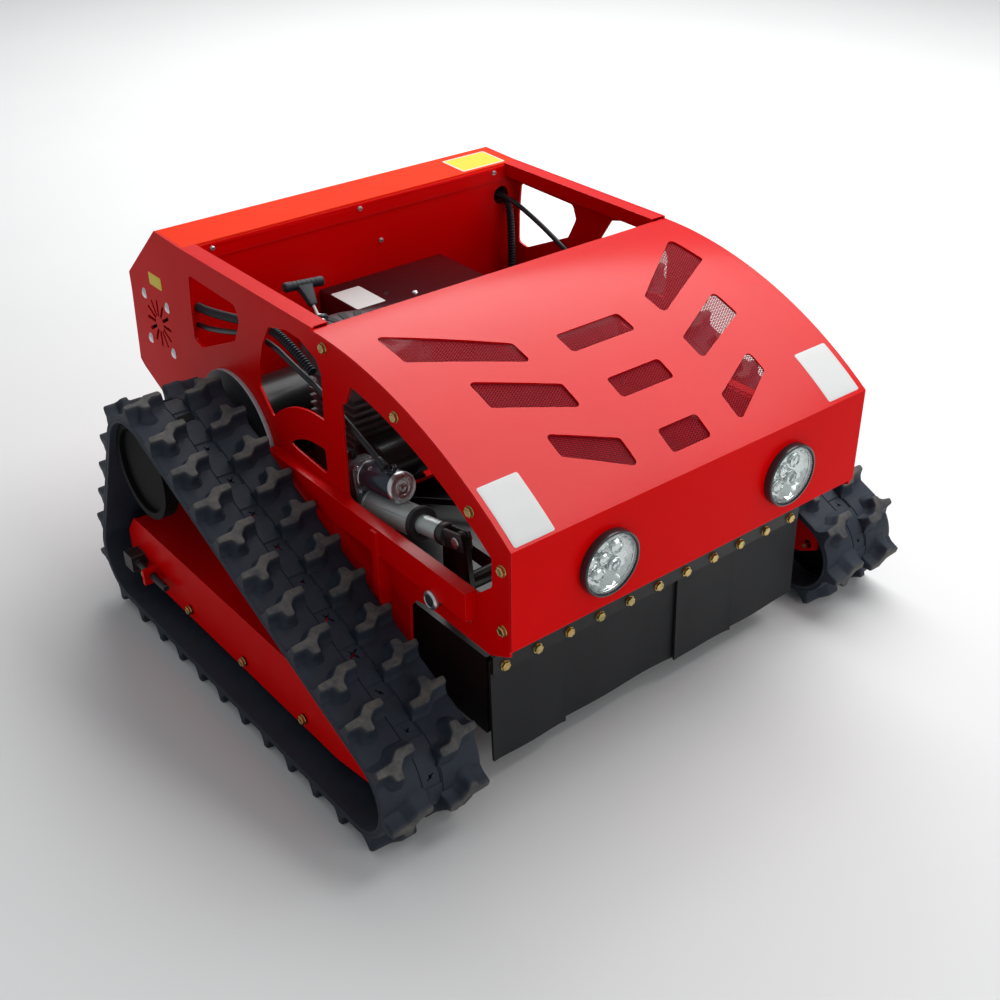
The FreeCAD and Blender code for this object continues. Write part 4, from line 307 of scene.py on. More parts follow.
def add_material_set():
    looks = {key: Look(name, **values).dress(*parts) for key, name, values, *parts in PLAIN_LOOKS}
    looks["red"] = paint("red_paint", (0.66, 0.0, 0.001), (0.6, 0.0, 0.0), 0.3, 0.34, 0.04)
    looks["orange"] = paint("orange_red_paint", (0.82, 0.034, 0.003), (0.76, 0.027, 0.003), 0.45, 0.03, 0.02)

    look = Look("track_rubber", rough=0.66, specular=0.28)
    cloud = look.steps(look.noise(14.0, 5, 0.65), (0.3, 0.0), (0.75, 1.0))
    tone = look.mix(cloud, (0.012, 0.0165, 0.0265), (0.022, 0.0295, 0.045))
    wear = look.add("Attribute")
    wear.attribute_name = "wear"
    patches = look.steps(look.noise(46.0, 5, 0.7), (0.32, 0.2), (0.64, 1.0))
    dusty = look.mix(look.noise(120.0, 4, 0.7), (0.045, 0.042, 0.037), (0.135, 0.125, 0.108))
    look.set("Base Color", look.mix(look.math("MULTIPLY", wear.outputs["Fac"], patches), tone, dusty))
    look.set("Rough", look.raised(0.5, cloud, 0.25))
    waves = look.bump(look.noise(70.0, 4), 0.35, 0.002)
    look.set("Normal", look.bump(look.noise(900.0, 4, 0.7), 0.35, 0.0006, waves))
    looks["track"] = look.material

    look = Look("gold_zinc", rough=0.3, metal=1.0)
    tint = look.steps(look.noise(55.0, 3), (0.3, (0.5, 0.32, 0.085)), (0.5, (0.64, 0.47, 0.19)),
                      (0.72, (0.26, 0.28, 0.11)))
    looks["gold"] = look.dress(tint, (0.14, (120.0, 4), 0.2), ((500.0, 3), 0.12, 0.0003))

    look = Look("flap_rubber", rough=0.55, specular=0.25)
    looks["flap"] = look.dress(((10.0, 5, 0.65), (0.006, 0.0065, 0.008), (0.018, 0.0185, 0.02)))
    waves = look.bump(look.noise(12.0, 3), 0.25, 0.004)
    look.set("Normal", look.bump(look.noise(260.0, 4), 0.25, 0.0005, waves))

    look = Look("silver_actuator", rough=0.36, metal=0.35)
    streak = look.noise(60.0, 4, 0.6, look.stretched((6.0, 1.0, 1.0)))
    looks["actuator"] = look.dress(look.mix(streak, (0.42, 0.475, 0.465), (0.58, 0.65, 0.635)), None,
                                   ((420.0, 2), 0.1, 0.0003))
    look.set("Rough", look.raised(0.25, streak, 0.2))

    look = Look("rope", rough=0.8, sheen=0.3)
    wave = look.add("TexWave", Vector=look.place, Scale=160.0)
    wave.bands_direction = "Z"
    looks["rope"] = look.dress(look.mix(wave.outputs["Fac"], (0.5, 0.5, 0.48), (0.86, 0.86, 0.83)))
    look.set("Normal", look.bump(wave.outputs["Fac"], 0.5, 0.0006))

    look = Look("lamp_glass", rough=0.03, ior=1.45)
    looks["glass"] = look.dress(((50.0, 2), (0.62, 0.68, 0.67), (0.72, 0.77, 0.76)))
    look.set("Alpha", look.raised(0.1, look.add("LayerWeight", Blend=0.3).outputs["Facing"], 0.55))

    look = Look("cast_grey", rough=0.42, metal=0.55)
    scratch = look.steps(look.noise(40.0, 6, 0.75, look.stretched((7.0, 1.0, 1.6))), (0.56, 0.0), (0.66, 1.0))
    tone = look.mix(scratch, (0.075, 0.082, 0.088), (0.4, 0.42, 0.43))
    tone = look.mix(look.edges(0.0014), tone, (0.5, 0.52, 0.53))
    looks["cast_grey"] = look.dress(tone, (0.32, (70.0, 4), 0.25), ((260.0, 4), 0.2, 0.0004))

    look = Look("dark_steel", rough=0.45, metal=0.5)
    tone = look.mix(look.noise(16.0, 5), (0.018, 0.018, 0.02), (0.05, 0.05, 0.053))
    tone = look.mix(look.edges(0.0025), tone, (0.3, 0.3, 0.29))
    looks["dark_steel"] = look.dress(tone, (0.35, (50.0, 4), 0.25))

    look = Look("guard_plate", rough=0.4, metal=0.4)
    # The disc's sideways faces are near black, a painted shade where the disc stands in the track's shadow;
    # only its rim keeps the disc's light grey.
    face = look.steps(look.math("ABSOLUTE", look.facing(0)), (0.4, 0.0), (0.75, 1.0))
    rim = look.mix(look.noise(60.0, 4), (0.36, 0.4, 0.42), (0.62, 0.66, 0.68))
    plate = look.mix(look.noise(16.0, 5), (0.012, 0.014, 0.018), (0.035, 0.04, 0.05))
    looks["guard"] = look.dress(look.mix(face, rim, plate), (0.32, (50.0, 4), 0.25))
    return looks


def both(*names):
    return tuple(name + "_" + word for name in names for word, side in SIDES)


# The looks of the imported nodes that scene.py doesn't model again
NODE_LOOKS = {
    "red": both("side_plate", "track_frame") + ("side_sills", "top_rails", "cross_members", "engine_plate",
                                                "rear_floor", "rear_bulkhead", "hood"),
    "orange": ("rear_cover",),
    "dark_steel": both("tension_slide"),
    "guard": ("sprocket_guards",),
    "wheel": both("drive_sprocket", "front_idler", "rear_idler")
    + tuple(wheel + "_" + number for wheel in both("road_wheel") for number in "123"),
    "black_steel": ("travel_motors", "mower_deck", "lift_shaft", "deck_front_bar", "engine_pulley",
                    "blade_spindle"),
    "grey_steel": ("cutter_blade",),
    "engine": ("engine_block",),
    "plastic": both("fan_rotor") + ("fan_frames", "control_boxes"),
    "gloss": ("battery",),
}
EDGED = both("side_plate", "track_frame") + (
    "side_sills", "top_rails", "cross_members", "rear_bulkhead", "rear_cover", "engine_plate", "mower_deck",
    "deck_front_bar", "lift_shaft", "sprocket_guards")


def dress_nodes():
    """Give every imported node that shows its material."""
    for key, names in NODE_LOOKS.items():
        for name in names:
            NODES[name].data.materials.clear()
            NODES[name].data.materials.append(LOOKS[key])


def soften_edges():
    """A small rounded edge on the sheet and cast metal, so that it catches the light."""
    for name in EDGED:
        node = NODES[name]
        weld = node.modifiers.new("weld", "WELD")
        weld.merge_threshold = 0.00002
        flat = node.modifiers.new("flat_faces", "DECIMATE")
        flat.decimate_type = "DISSOLVE"
        flat.angle_limit = math.radians(1.0)
        rounding = node.modifiers.new("rounding", "BEVEL")
        rounding.width = 0.0008
        rounding.segments = 2
        rounding.limit_method = "ANGLE"
        rounding.angle_limit = math.radians(40)
        rounding.harden_normals = True
        rounding.use_clamp_overlap = True


# Mesh building. Sizes in the helpers below are in millimetres, with y from the body's front face.
class Mesh:
    """Points and faces of one piece, gathered before Blender gets them."""

    def __init__(self):
        self.points = []
        self.faces = []
        self.marks = []
        self.wear = {}

    def add(self, points, faces, mark=0, wear=0.0):
        base = len(self.points)
        self.points += [Vector(point) for point in points]
        self.faces += [tuple(base + index for index in face) for face in faces]
        self.marks += [mark] * len(faces)
        if wear:
            self.wear.update({base + index: wear for index in range(len(points))})
        return base

    def loft(self, rings, mark=0, closed=True, caps=(True, True)):
        """Quads between rings of equal count; a ring is closed unless told otherwise."""
        count = len(rings[0])
        faces = []
        for row in range(len(rings) - 1):
            for index in range(count if closed else count - 1):
                ahead = (index + 1) % count
                faces.append((row * count + index, row * count + ahead, (row + 1) * count + ahead,
                              (row + 1) * count + index))
        if caps[0]:
            faces.append(tuple(reversed(range(count))))
        if caps[1]:
            faces.append(tuple((len(rings) - 1) * count + index for index in range(count)))
        return self.add([point for ring in rings for point in ring], faces, mark)

    def turn(self, profile, centre, axis, steps=48, mark=0, start=None, caps=(True, True)):
        """A round piece: pairs of a radius and a place along the axis."""
        axis = Vector(axis).normalized()
        side = Vector(start) if start else axis.orthogonal()
        side = (side - axis * side.dot(axis)).normalized()
        other = axis.cross(side)
        rings = []
        for radius, along in profile:
            radius = max(radius, 0.02)
            middle = Vector(centre) + axis * along
            rings.append([middle + (side * math.cos(turn) + other * math.sin(turn)) * radius
                          for turn in turns(steps)])
        return self.loft(rings, mark, caps=caps)

    def tube(self, path, radius, sides=12, mark=0):
        """A round rod that follows points; radius is a number or one for each point."""
        rings = []
        side = None
        for index, point in enumerate(path):
            ahead = path[min(index + 1, len(path) - 1)]
            behind = path[max(index - 1, 0)]
            along = (ahead - behind).normalized()
            side = along.orthogonal() if side is None else side
            side = (side - along * side.dot(along)).normalized()
            other = along.cross(side)
            size = radius[index] if hasattr(radius, "__len__") else radius
            rings.append([point + (side * math.cos(turn) + other * math.sin(turn)) * size
                          for turn in turns(sides)])
        return self.loft(rings, mark)

    def slab(self, outline, frame, low, high, mark=0):
        """A flat piece of a closed outline, from one height to another, with small rounded edges."""
        origin, across, along, up = frame
        soft = min(1.2, (high - low) / 3)
        rings = []
        for height, inset in ((low, soft), (low + soft, 0.0), (high - soft, 0.0), (high, soft)):
            rings.append([origin + across * p[0] + along * p[1] + up * height
                          for p in offset(outline, -inset)])
        return self.loft(rings, mark)

    def stack(self, outline, levels):
        """A closed outline lofted upwards: pairs of a height and how far the outline is drawn in."""
        self.loft([[(x, y, height) for x, y in offset(outline, -inset)] for height, inset in levels])

    def make(self, name, looks, body, sharp=35.0, replaces=(), turn_out=True):
        """Hand the piece to Blender, in metres, riding on a body."""
        mesh = bpy.data.meshes.new(name)
        mesh.from_pydata([spot(*point) for point in self.points], [], self.faces)
        for look in (looks if isinstance(looks, (list, tuple)) else [looks]):
            mesh.materials.append(LOOKS[look])
        mesh.polygons.foreach_set("material_index", self.marks)
        mesh.polygons.foreach_set("use_smooth", [True] * len(self.faces))
        if self.wear:
            worn = mesh.attributes.new("wear", "FLOAT", "POINT")
            for index, value in self.wear.items():
                worn.data[index].value = value
        if turn_out:
            edit = bmesh.new()
            edit.from_mesh(mesh)
            bmesh.ops.recalc_face_normals(edit, faces=edit.faces)
            edit.to_mesh(mesh)
            edit.free()
        mesh.set_sharp_from_angle(angle=math.radians(sharp))
        mesh.update()
        piece = add_object(name, mesh)
        if body:
            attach(piece, body)
        if replaces:
            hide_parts(*replaces)
        return piece


def offset(outline, size):
    """The closed outline moved outwards by a size, or inwards where it is negative."""
    count = len(outline)
    area = sum(outline[i - 1][0] * outline[i][1] - outline[i][0] * outline[i - 1][1] for i in range(count))
    hand = 1.0 if area > 0 else -1.0
    moved = []
    for index in range(count):
        behind, point, ahead = outline[index - 1], outline[index], outline[(index + 1) % count]
        first = Vector((point[0] - behind[0], point[1] - behind[1])).normalized()
        second = Vector((ahead[0] - point[0], ahead[1] - point[1])).normalized()
        way = Vector((first.y + second.y, -first.x - second.x)) * hand
        way = way.normalized() if way.length > 1e-6 else Vector((first.y, -first.x)) * hand
        reach = 1.0 / max(0.6, way.dot(Vector((first.y, -first.x)) * hand))
        moved.append((point[0] + way.x * size * reach, point[1] + way.y * size * reach))
    return moved


def rounded(corners, size, steps=3):
    """A closed outline with its corners rounded."""
    outline = []
    count = len(corners)
    for index in range(count):
        behind, corner, ahead = (Vector(corners[i % count][:2]) for i in (index - 1, index, index + 1))
        first = min(size, (corner - behind).length * 0.45)
        second = min(size, (ahead - corner).length * 0.45)
        start = corner + (behind - corner).normalized() * first
        end = corner + (ahead - corner).normalized() * second
        for step in range(steps + 1):
            share = step / steps
            point = start * (1 - share) ** 2 + corner * 2 * share * (1 - share) + end * share ** 2
            outline.append((point.x, point.y))
    return outline


# Rubber tracks
WHEELS = ((112.0, 96.0, 62.0), (802.0, 96.0, 62.0), (683.0, 326.5, 79.816))
BELT_THICKNESS = 12.0
BELT_HALF = 81.5
STRIP_HALF = 15.0
BELT_PITCH = 67.4
TRACK_MIDDLE = 445.5
LUG_TOP = 34.0
LUG_DEPTH = 38.0
LUG_SHARES = ((0.0, -0.48), (0.38, -0.5), (0.58, -0.18), (0.98, -0.12), (1.0, 0.14), (0.7, 0.16),
              (0.64, 0.48), (0.47, 0.5), (0.44, 0.12), (0.28, -0.16), (0.0, -0.18))


class BeltLine:
    """The closed line through the middle of the belt, from the top of the sprocket forwards."""

    def __init__(self):
        normals = []
        for index in range(3):
            (y, z, radius), (far_y, far_z, far_radius) = WHEELS[index], WHEELS[(index + 1) % 3]
            along = Vector((far_y - y, far_z - z))
            length = along.length
            along.normalize()
            lean = (radius - far_radius) / length
            normals.append(along * lean + Vector((along.y, -along.x)) * math.sqrt(1 - lean * lean))
        half = BELT_THICKNESS / 2
        self.runs = []
        first, last = self.reach(normals, 2)
        self.arc(2, (first + last) / 2, last)
        for step in range(3):
            index, ahead = (2 + step) % 3, step
            start = Vector(WHEELS[index][:2]) + normals[index] * (WHEELS[index][2] + half)
            end = Vector(WHEELS[ahead][:2]) + normals[index] * (WHEELS[ahead][2] + half)
            self.runs.append(((end - start).length, start, end, normals[index]))
            first, last = self.reach(normals, ahead)
            self.arc(ahead, first, first + (last - first) / 2 if ahead == 2 else last)
        self.length = sum(run[0] for run in self.runs)
        self.count = round(self.length / BELT_PITCH)
        self.spacing = self.length / self.count

    @staticmethod
    def reach(normals, index):
        first = math.atan2(normals[index - 1].y, normals[index - 1].x)
        last = math.atan2(normals[index].y, normals[index].x)
        return first, last + 2 * math.pi if last < first else last

    def arc(self, index, first, last):
        radius = WHEELS[index][2] + BELT_THICKNESS / 2
        self.runs.append((radius * (last - first), Vector(WHEELS[index][:2]), radius, first, last))

    def place(self, distance):
        """A point of the line and the outward direction there."""
        distance %= self.length
        for run in self.runs:
            if distance <= run[0]:
                break
            distance -= run[0]
        share = min(distance / run[0], 1.0)
        if len(run) == 4:
            return run[1] + (run[2] - run[1]) * share, run[3]
        turn = run[3] + (run[4] - run[3]) * share
        out = Vector((math.cos(turn), math.sin(turn)))
        return run[1] + out * run[2], out

    def on(self, distance, x, height):
        """A point at a height above the belt's inner face."""
        point, out = self.place(distance)
        point = point + out * (height - BELT_THICKNESS / 2)
        return Vector((x, point.x, point.y))

    def standing(self, station, x, ahead, height):
        """A point of a stiff lug that stands at a station; ahead is against the line's direction."""
        point, out = self.place(station)
        point = point + out * (height - BELT_THICKNESS / 2) + Vector((out.y, -out.x)) * ahead
        return Vector((x, point.x, point.y))


def add_track(word, side):
    """Belt with its centre strip and torn windows, and two rows of worn lugs."""
    line = BeltLine()
    draw = random.Random(7 if side < 0 else 11)
    middle = side * TRACK_MIDDLE
    belt = Mesh()
    strip = (-STRIP_HALF, -7.5, 0.0, 7.5, STRIP_HALF)
    top = [(-BELT_HALF + 2.5, 11.4), (-BELT_HALF + 6, 12), (-48, 12), (-STRIP_HALF - 2.6, 12),
           (-STRIP_HALF - 2.0, 10.6), (-STRIP_HALF - 0.6, 10.6)]
    upper = top + [(v, 12.0) for v in strip] + [(-v, w) for v, w in reversed(top)]
    ends = [(BELT_HALF - 0.4, 10.4), (BELT_HALF, 8.2), (BELT_HALF - 1.2, 6.2), (BELT_HALF, 4.2),
            (BELT_HALF - 0.6, 1.0), (BELT_HALF - 2.5, 0)]
    lower = [(v, 0.0) for v in reversed(strip)]
    ring = upper + ends + lower + [(-v, w) for v, w in reversed(ends)]
    marks = [-14.0, -7.0, 0.0, 7.0, 14.0, 20.0, 27.0, 33.7, 40.4, 47.4]
    stations = [index * line.spacing + at * line.spacing / BELT_PITCH
                for index in range(line.count) for at in marks]
    wide = len(ring)
    belt.points = [line.on(place, middle + v, w) for place in stations for v, w in ring]
    strip_top = [ring.index((v, 12.0)) for v in strip]
    strip_low = [len(upper) + len(ends) + index for index in range(5)]
    rows = len(stations)
    for row in range(rows):
        ahead = (row + 1) % rows
        in_window = row % len(marks) < 4
        for index in range(wide):
            after = (index + 1) % wide
            if in_window and ((index in strip_top[:4]) or (index in strip_low[:4])):
                continue
            belt.faces.append((row * wide + index, row * wide + after,
                               ahead * wide + after, ahead * wide + index))
    belt.marks = [0] * len(belt.faces)
    for number in range(line.count):
        first = number * len(marks)
        rim = [(0, c) for c in range(4)] + [(r, 4) for r in range(4)]
        rim += [(4, c) for c in range(4, 0, -1)] + [(r, 0) for r in range(4, 0, -1)]
        outer = [(first + r) % rows * wide + strip_top[c] for r, c in rim]
        inner = [(first + r) % rows * wide + strip_low[4 - c] for r, c in rim]
        size = draw.uniform(0.5, 1.1)
        torn = []
        for step, (r, c) in enumerate(rim):
            reach = (10.5 if step % 4 == draw.choice((0, 1)) else 3.8) * size * draw.uniform(0.7, 1.15)
            way = Vector(((r - 2) * 7.0, (c - 2) * 7.5)).normalized()
            torn.append((way.x * reach, way.y * reach))
        steps = [[(marks[r] * 0.94, strip[c] * 0.94, 10.0) for r, c in rim],
                 [(a, b, 10.2 + draw.uniform(-0.8, 0.5)) for a, b in torn],
                 [(a * 1.08, b * 1.08, 6.0) for a, b in torn], [(a, b, 0.0) for a, b in torn]]
        base = number * line.spacing
        rings = [outer]
        for points in steps:
            start = belt.add([line.on(base + a, middle + b, w) for a, b, w in points], [])
            rings.append([start + index for index in range(16)])
        rings.append(inner)
        for lower_ring, upper_ring in zip(rings, rings[1:]):
            for index in range(16):
                after = (index + 1) % 16
                belt.faces.append((lower_ring[index], lower_ring[after], upper_ring[after],
                                   upper_ring[index]))
                belt.marks.append(0)
    reach = BELT_HALF - STRIP_HALF
    for number in range(line.count):
        station = (number + 0.5) * line.spacing
        for half in (-1, 1):
            corners = [(half * (STRIP_HALF + a * reach), half * b * LUG_DEPTH) for a, b in LUG_SHARES]
            outline = rounded(corners, 3.4, 3)
            rings = []
            for height, spread in ((10.5, 9.5), (12.2, 8.2), (15.0, 5.4), (19.5, 3.0), (27.0, 1.2),
                                   (32.2, 0.4), (33.6, -0.4), (LUG_TOP, -1.6)):
                points = []
                for v, u in offset(outline, spread):
                    v = max(-BELT_HALF + 0.5, min(BELT_HALF - 0.5, v))
                    if abs(v) < STRIP_HALF - 1.5:
                        v = half * (STRIP_HALF - 1.5)
                    if height < 13:
                        points.append(line.on(station - u, middle + v, height))
                    else:
                        drop = draw.uniform(0.0, 0.55) if height > 31 else 0.0
                        points.append(line.standing(station, middle + v, u, height - drop))
                rings.append(points)
            start = belt.loft(rings, 0, caps=(False, True))
            count = len(outline)
            for row, value in ((5, 0.35), (6, 0.8), (7, 1.0)):
                belt.wear.update({start + row * count + index: value for index in range(count)})
    belt.make("track_belt_" + word, "track", "chassis", sharp=50.0,
              replaces=("rubber_track_" + word,))


# Hood: the arc runs from the rear crest forwards, and a place on it is across, along the arc, and out.
HOOD_RADIUS = 715.0
HOOD_REAR = 432.0
HOOD_TOP = 599.0
BODY_HALF = 340.0
HOOD_ARC = HOOD_RADIUS * math.asin(HOOD_REAR / HOOD_RADIUS)
VENT_SHARES = (
    ((-0.835, 0.144), (-0.371, 0.379), (-0.371, 0.476), (-0.835, 0.306)),
    ((-0.691, 0.461), (-0.338, 0.588), (-0.338, 0.688), (-0.691, 0.578)),
    ((-0.574, 0.72), (-0.285, 0.823), (-0.285, 0.927), (-0.574, 0.806)),
    ((-0.176, 0.407), (0.176, 0.407), (0.176, 0.496), (-0.176, 0.496)),
    ((-0.147, 0.627), (0.147, 0.627), (0.147, 0.709), (-0.147, 0.709)),
    ((-0.11, 0.845), (0.11, 0.845), (0.11, 0.931), (-0.11, 0.931)),
)


def hood_spot(x, along, out=0.0):
    turn = along / HOOD_RADIUS
    return Vector((x, HOOD_REAR - (HOOD_RADIUS + out) * math.sin(turn),
                   HOOD_TOP - HOOD_RADIUS + (HOOD_RADIUS + out) * math.cos(turn)))


def inside(outline, x, y):
    """Whether a point lies in a convex outline."""
    hand = 0
    for index in range(len(outline)):
        (ax, ay), (bx, by) = outline[index - 1], outline[index]
        turn = (bx - ax) * (y - ay) - (by - ay) * (x - ax)
        if hand * turn < 0:
            return False
        hand = hand or (1 if turn > 0 else -1)
    return True


def add_hood_mesh():
    """Expanded metal behind the vents: one diamond after another, each a frame round a hole."""
    net = Mesh()
    wide, tall, strand = 6.4, 4.0, 0.66
    outlines = list(VENT_SHARES) + [[(-a, b) for a, b in outline] for outline in VENT_SHARES[:3]]
    low_out, high_out = -4.15, -3.45
    for outline in outlines:
        corners = [(a * BODY_HALF, b * HOOD_ARC) for a, b in outline]
        reach = offset(corners, 9.0)
        xs = [p[0] for p in reach]
        ys = [p[1] for p in reach]
        points = {}

        def corner(column, row):
            key = (column, row)
            if key not in points:
                out = high_out if column % 2 else low_out
                points[key] = net.add([hood_spot(column * wide / 2, row * tall / 2, out)], [])
            return points[key]

        for row in range(int(min(ys) / tall * 2), int(max(ys) / tall * 2) + 2):
            for column in range(int(min(xs) / wide * 2) - 1, int(max(xs) / wide * 2) + 2):
                if (row + column) % 2 or not inside(reach, column * wide / 2, row * tall / 2):
                    continue
                outer = [corner(column - 1, row), corner(column, row - 1), corner(column + 1, row),
                         corner(column, row + 1)]
                x, y = column * wide / 2, row * tall / 2
                inner = net.add([hood_spot(x + dx * wide / 2 * strand, y + dy * tall / 2 * strand,
                                           high_out if (column + dx) % 2 else low_out)
                                 for dx, dy in ((-1, 0), (0, -1), (1, 0), (0, 1))], [])
                for index in range(4):
                    after = (index + 1) % 4
                    net.faces.append((outer[index], outer[after], inner + after, inner + index))
                    net.marks.append(0)
    piece = net.make("hood_net", "mesh", "chassis", replaces=("hood_mesh",), turn_out=False)
    piece.data.polygons.foreach_set("use_smooth", [False] * len(piece.data.polygons))
    thick = piece.modifiers.new("thickness", "SOLIDIFY")
    thick.thickness = 0.0007
    thick.offset = 0.0


def add_label(name, look, x_low, x_high, along_low, along_high, surface, edge=None):
    """A thin blank plate with rounded corners; surface gives a point for across, along and out."""
    plate = Mesh()
    corners = ((x_low, along_low), (x_high, along_low), (x_high, along_high), (x_low, along_high))
    outline = []
    for index in range(4):
        (ax, ay), (bx, by) = corners[index], corners[(index + 1) % 4]
        outline += [(ax + (bx - ax) * s / 6, ay + (by - ay) * s / 6) for s in range(6)]
    outline = rounded_ends(outline, 2.0)
    rings = []
    for out, inset in ((0.02, 0.0), (0.22, 0.0), (0.28, 0.25)):
        rings.append([surface(*p, out) for p in offset(outline, -inset)])
    plate.loft(rings, 0, caps=(True, False))
    count = len(outline)
    base = len(plate.points) - count

    def band(outer, inner):
        return [(outer[i], outer[(i + 1) % count], inner[(i + 1) % count], inner[i]) for i in range(count)]

    border = 3.0 if edge else 0.25
    if edge:
        start = plate.add([surface(*p, 0.28) for p in offset(outline, -border)], [])
        plate.faces += band(range(base, base + count), range(start, start + count))
        plate.marks = [1] * len(plate.faces)
        base = start
    x_mid, y_mid = (x_low + x_high) / 2, (along_low + along_high) / 2
    steps = 5
    rings = [range(base, base + count)]
    for step in range(1, steps):
        share = 1 - step / steps
        points = [surface(x_mid + (p[0] - x_mid) * share, y_mid + (p[1] - y_mid) * share, 0.28)
                  for p in offset(outline, -border)]
        start = plate.add(points, [])
        rings.append(range(start, start + count))
    middle = plate.add([surface(x_mid, y_mid, 0.28)], [])
    for outer, inner in zip(rings, rings[1:]):
        plate.faces += band(outer, inner)
    plate.faces += [(rings[-1][i], rings[-1][(i + 1) % count], middle) for i in range(count)]
    plate.marks += [0] * (len(plate.faces) - len(plate.marks))
    looks = (look, edge) if edge else (look,)
    return plate.make(name, looks, "chassis", sharp=60.0)


def rounded_ends(outline, size):
    """Cut the four corners of a divided rectangle a little."""
    result = []
    for index, point in enumerate(outline):
        if index % 6:
            result.append(point)
            continue
        for other in (outline[index - 1], outline[(index + 1) % len(outline)]):
            way = Vector((other[0] - point[0], other[1] - point[1])).normalized() * size
            result.append((point[0] + way.x, point[1] + way.y))
    return result


LAMP_SIDE, LAMP_HEIGHT = 177.0, 372.0


def add_lamps():
    """Round work lamps: a housing, a faceted bowl with six lights, and a fluted lens."""
    for word, side in SIDES:
        centre = Vector((side * LAMP_SIDE, 0.0, LAMP_HEIGHT))
        housing = Mesh()
        housing.turn([(0.0, -25.8), (42.0, -25.8), (44.2, -23.0), (44.6, 0.1), (49.0, 0.1), (49.2, 1.6),
                      (48.9, 9.4), (48.2, 11.2), (46.9, 12.0), (45.7, 12.0), (45.0, 11.2), (44.9, 5.0),
                      (42.6, 4.4), (42.0, -18.0), (30.0, -22.8), (0.0, -23.2)], centre, FRONT, 96)
        housing.make("lamp_shell_" + word, "lamp_body", "chassis", replaces=("lamp_housings",))
        bowl = Mesh()
        draw = random.Random(3 + side)
        sectors = 18
        rows = ((44.0, 5.6, 0), (41.2, 1.0, 1), (37.5, -2.5, 0), (31.0, -5.0, 1), (24.0, -8.5, 0),
                (17.0, -11.0, 1), (10.0, -14.0, 0), (6.0, -14.5, 1))
        rings = []
        for radius, along, shift in rows:
            ring = []
            for step in range(sectors * 2):
                turn = math.pi * step / sectors
                bulge = 1.8 if (step + shift) % 2 else -1.8
                size = radius + (bulge * 0.35 if radius < 42 else 0)
                ring.append(centre + Vector((math.cos(turn) * size, -along - (bulge if radius < 43 else 0),
                                             math.sin(turn) * size)))
            rings.append(ring)
        bowl.loft(rings, 0, caps=(False, True))
        for turn in turns(5, 0.5):
            place = centre + Vector((math.cos(turn) * 24, 5.0, math.sin(turn) * 24))
            bowl.turn([(0, -3.0), (10.5, -3.0), (11.5, -1.0), (11.0, 1.6), (8.0, 3.0), (7.0, 0.8), (0, 0.2)],
                      place, FRONT, 10)
        bowl.turn([(0, -3.0), (9.0, -3.0), (10.0, -1.0), (9.5, 1.6), (6.5, 3.2), (5.5, 1.0), (0, 0.2)],
                  centre - FRONT * 6.0, FRONT, 10)
        bowl.make("lamp_bowl_" + word, "chrome", "chassis", sharp=8.0)
        lens = Mesh()
        rings = []
        for radius, along, flute in ((44.6, 5.6, 0.0), (44.6, 8.6, 0.0), (43.6, 10.0, 0.6), (40.0, 10.9, 0.6),
                                     (36.0, 11.6, 0.0), (26.0, 12.9, 0.0), (14.0, 13.8, 0.0),
                                     (5.0, 14.1, 0.0)):
            ring = []
            for index, turn in enumerate(turns(144)):
                depth = -along + (flute if index % 2 else 0.0)
                ring.append(centre + Vector((math.cos(turn) * radius, depth, math.sin(turn) * radius)))
            rings.append(ring)
        lens.loft(rings, 0, caps=(False, True))
        lens.make("lamp_lens_" + word, "glass", "chassis", sharp=60.0, turn_out=False,
                  replaces=("lamp_lenses",))


# Lift actuator, in its own frame: Z from its rear pin along the rod, Y up to the motor
REAR_PIN = Vector((-299.0, 430.0, 320.0))
REACH = Vector((-299.0, 155.0, 377.0)) - REAR_PIN
ALONG = REACH.normalized()
UPWARD = ALONG.cross(ACROSS)
ACTUATOR = (REAR_PIN, ACROSS, UPWARD, ALONG)


def place(x, y, z):
    return REAR_PIN + ACROSS * x + UPWARD * y + ALONG * z


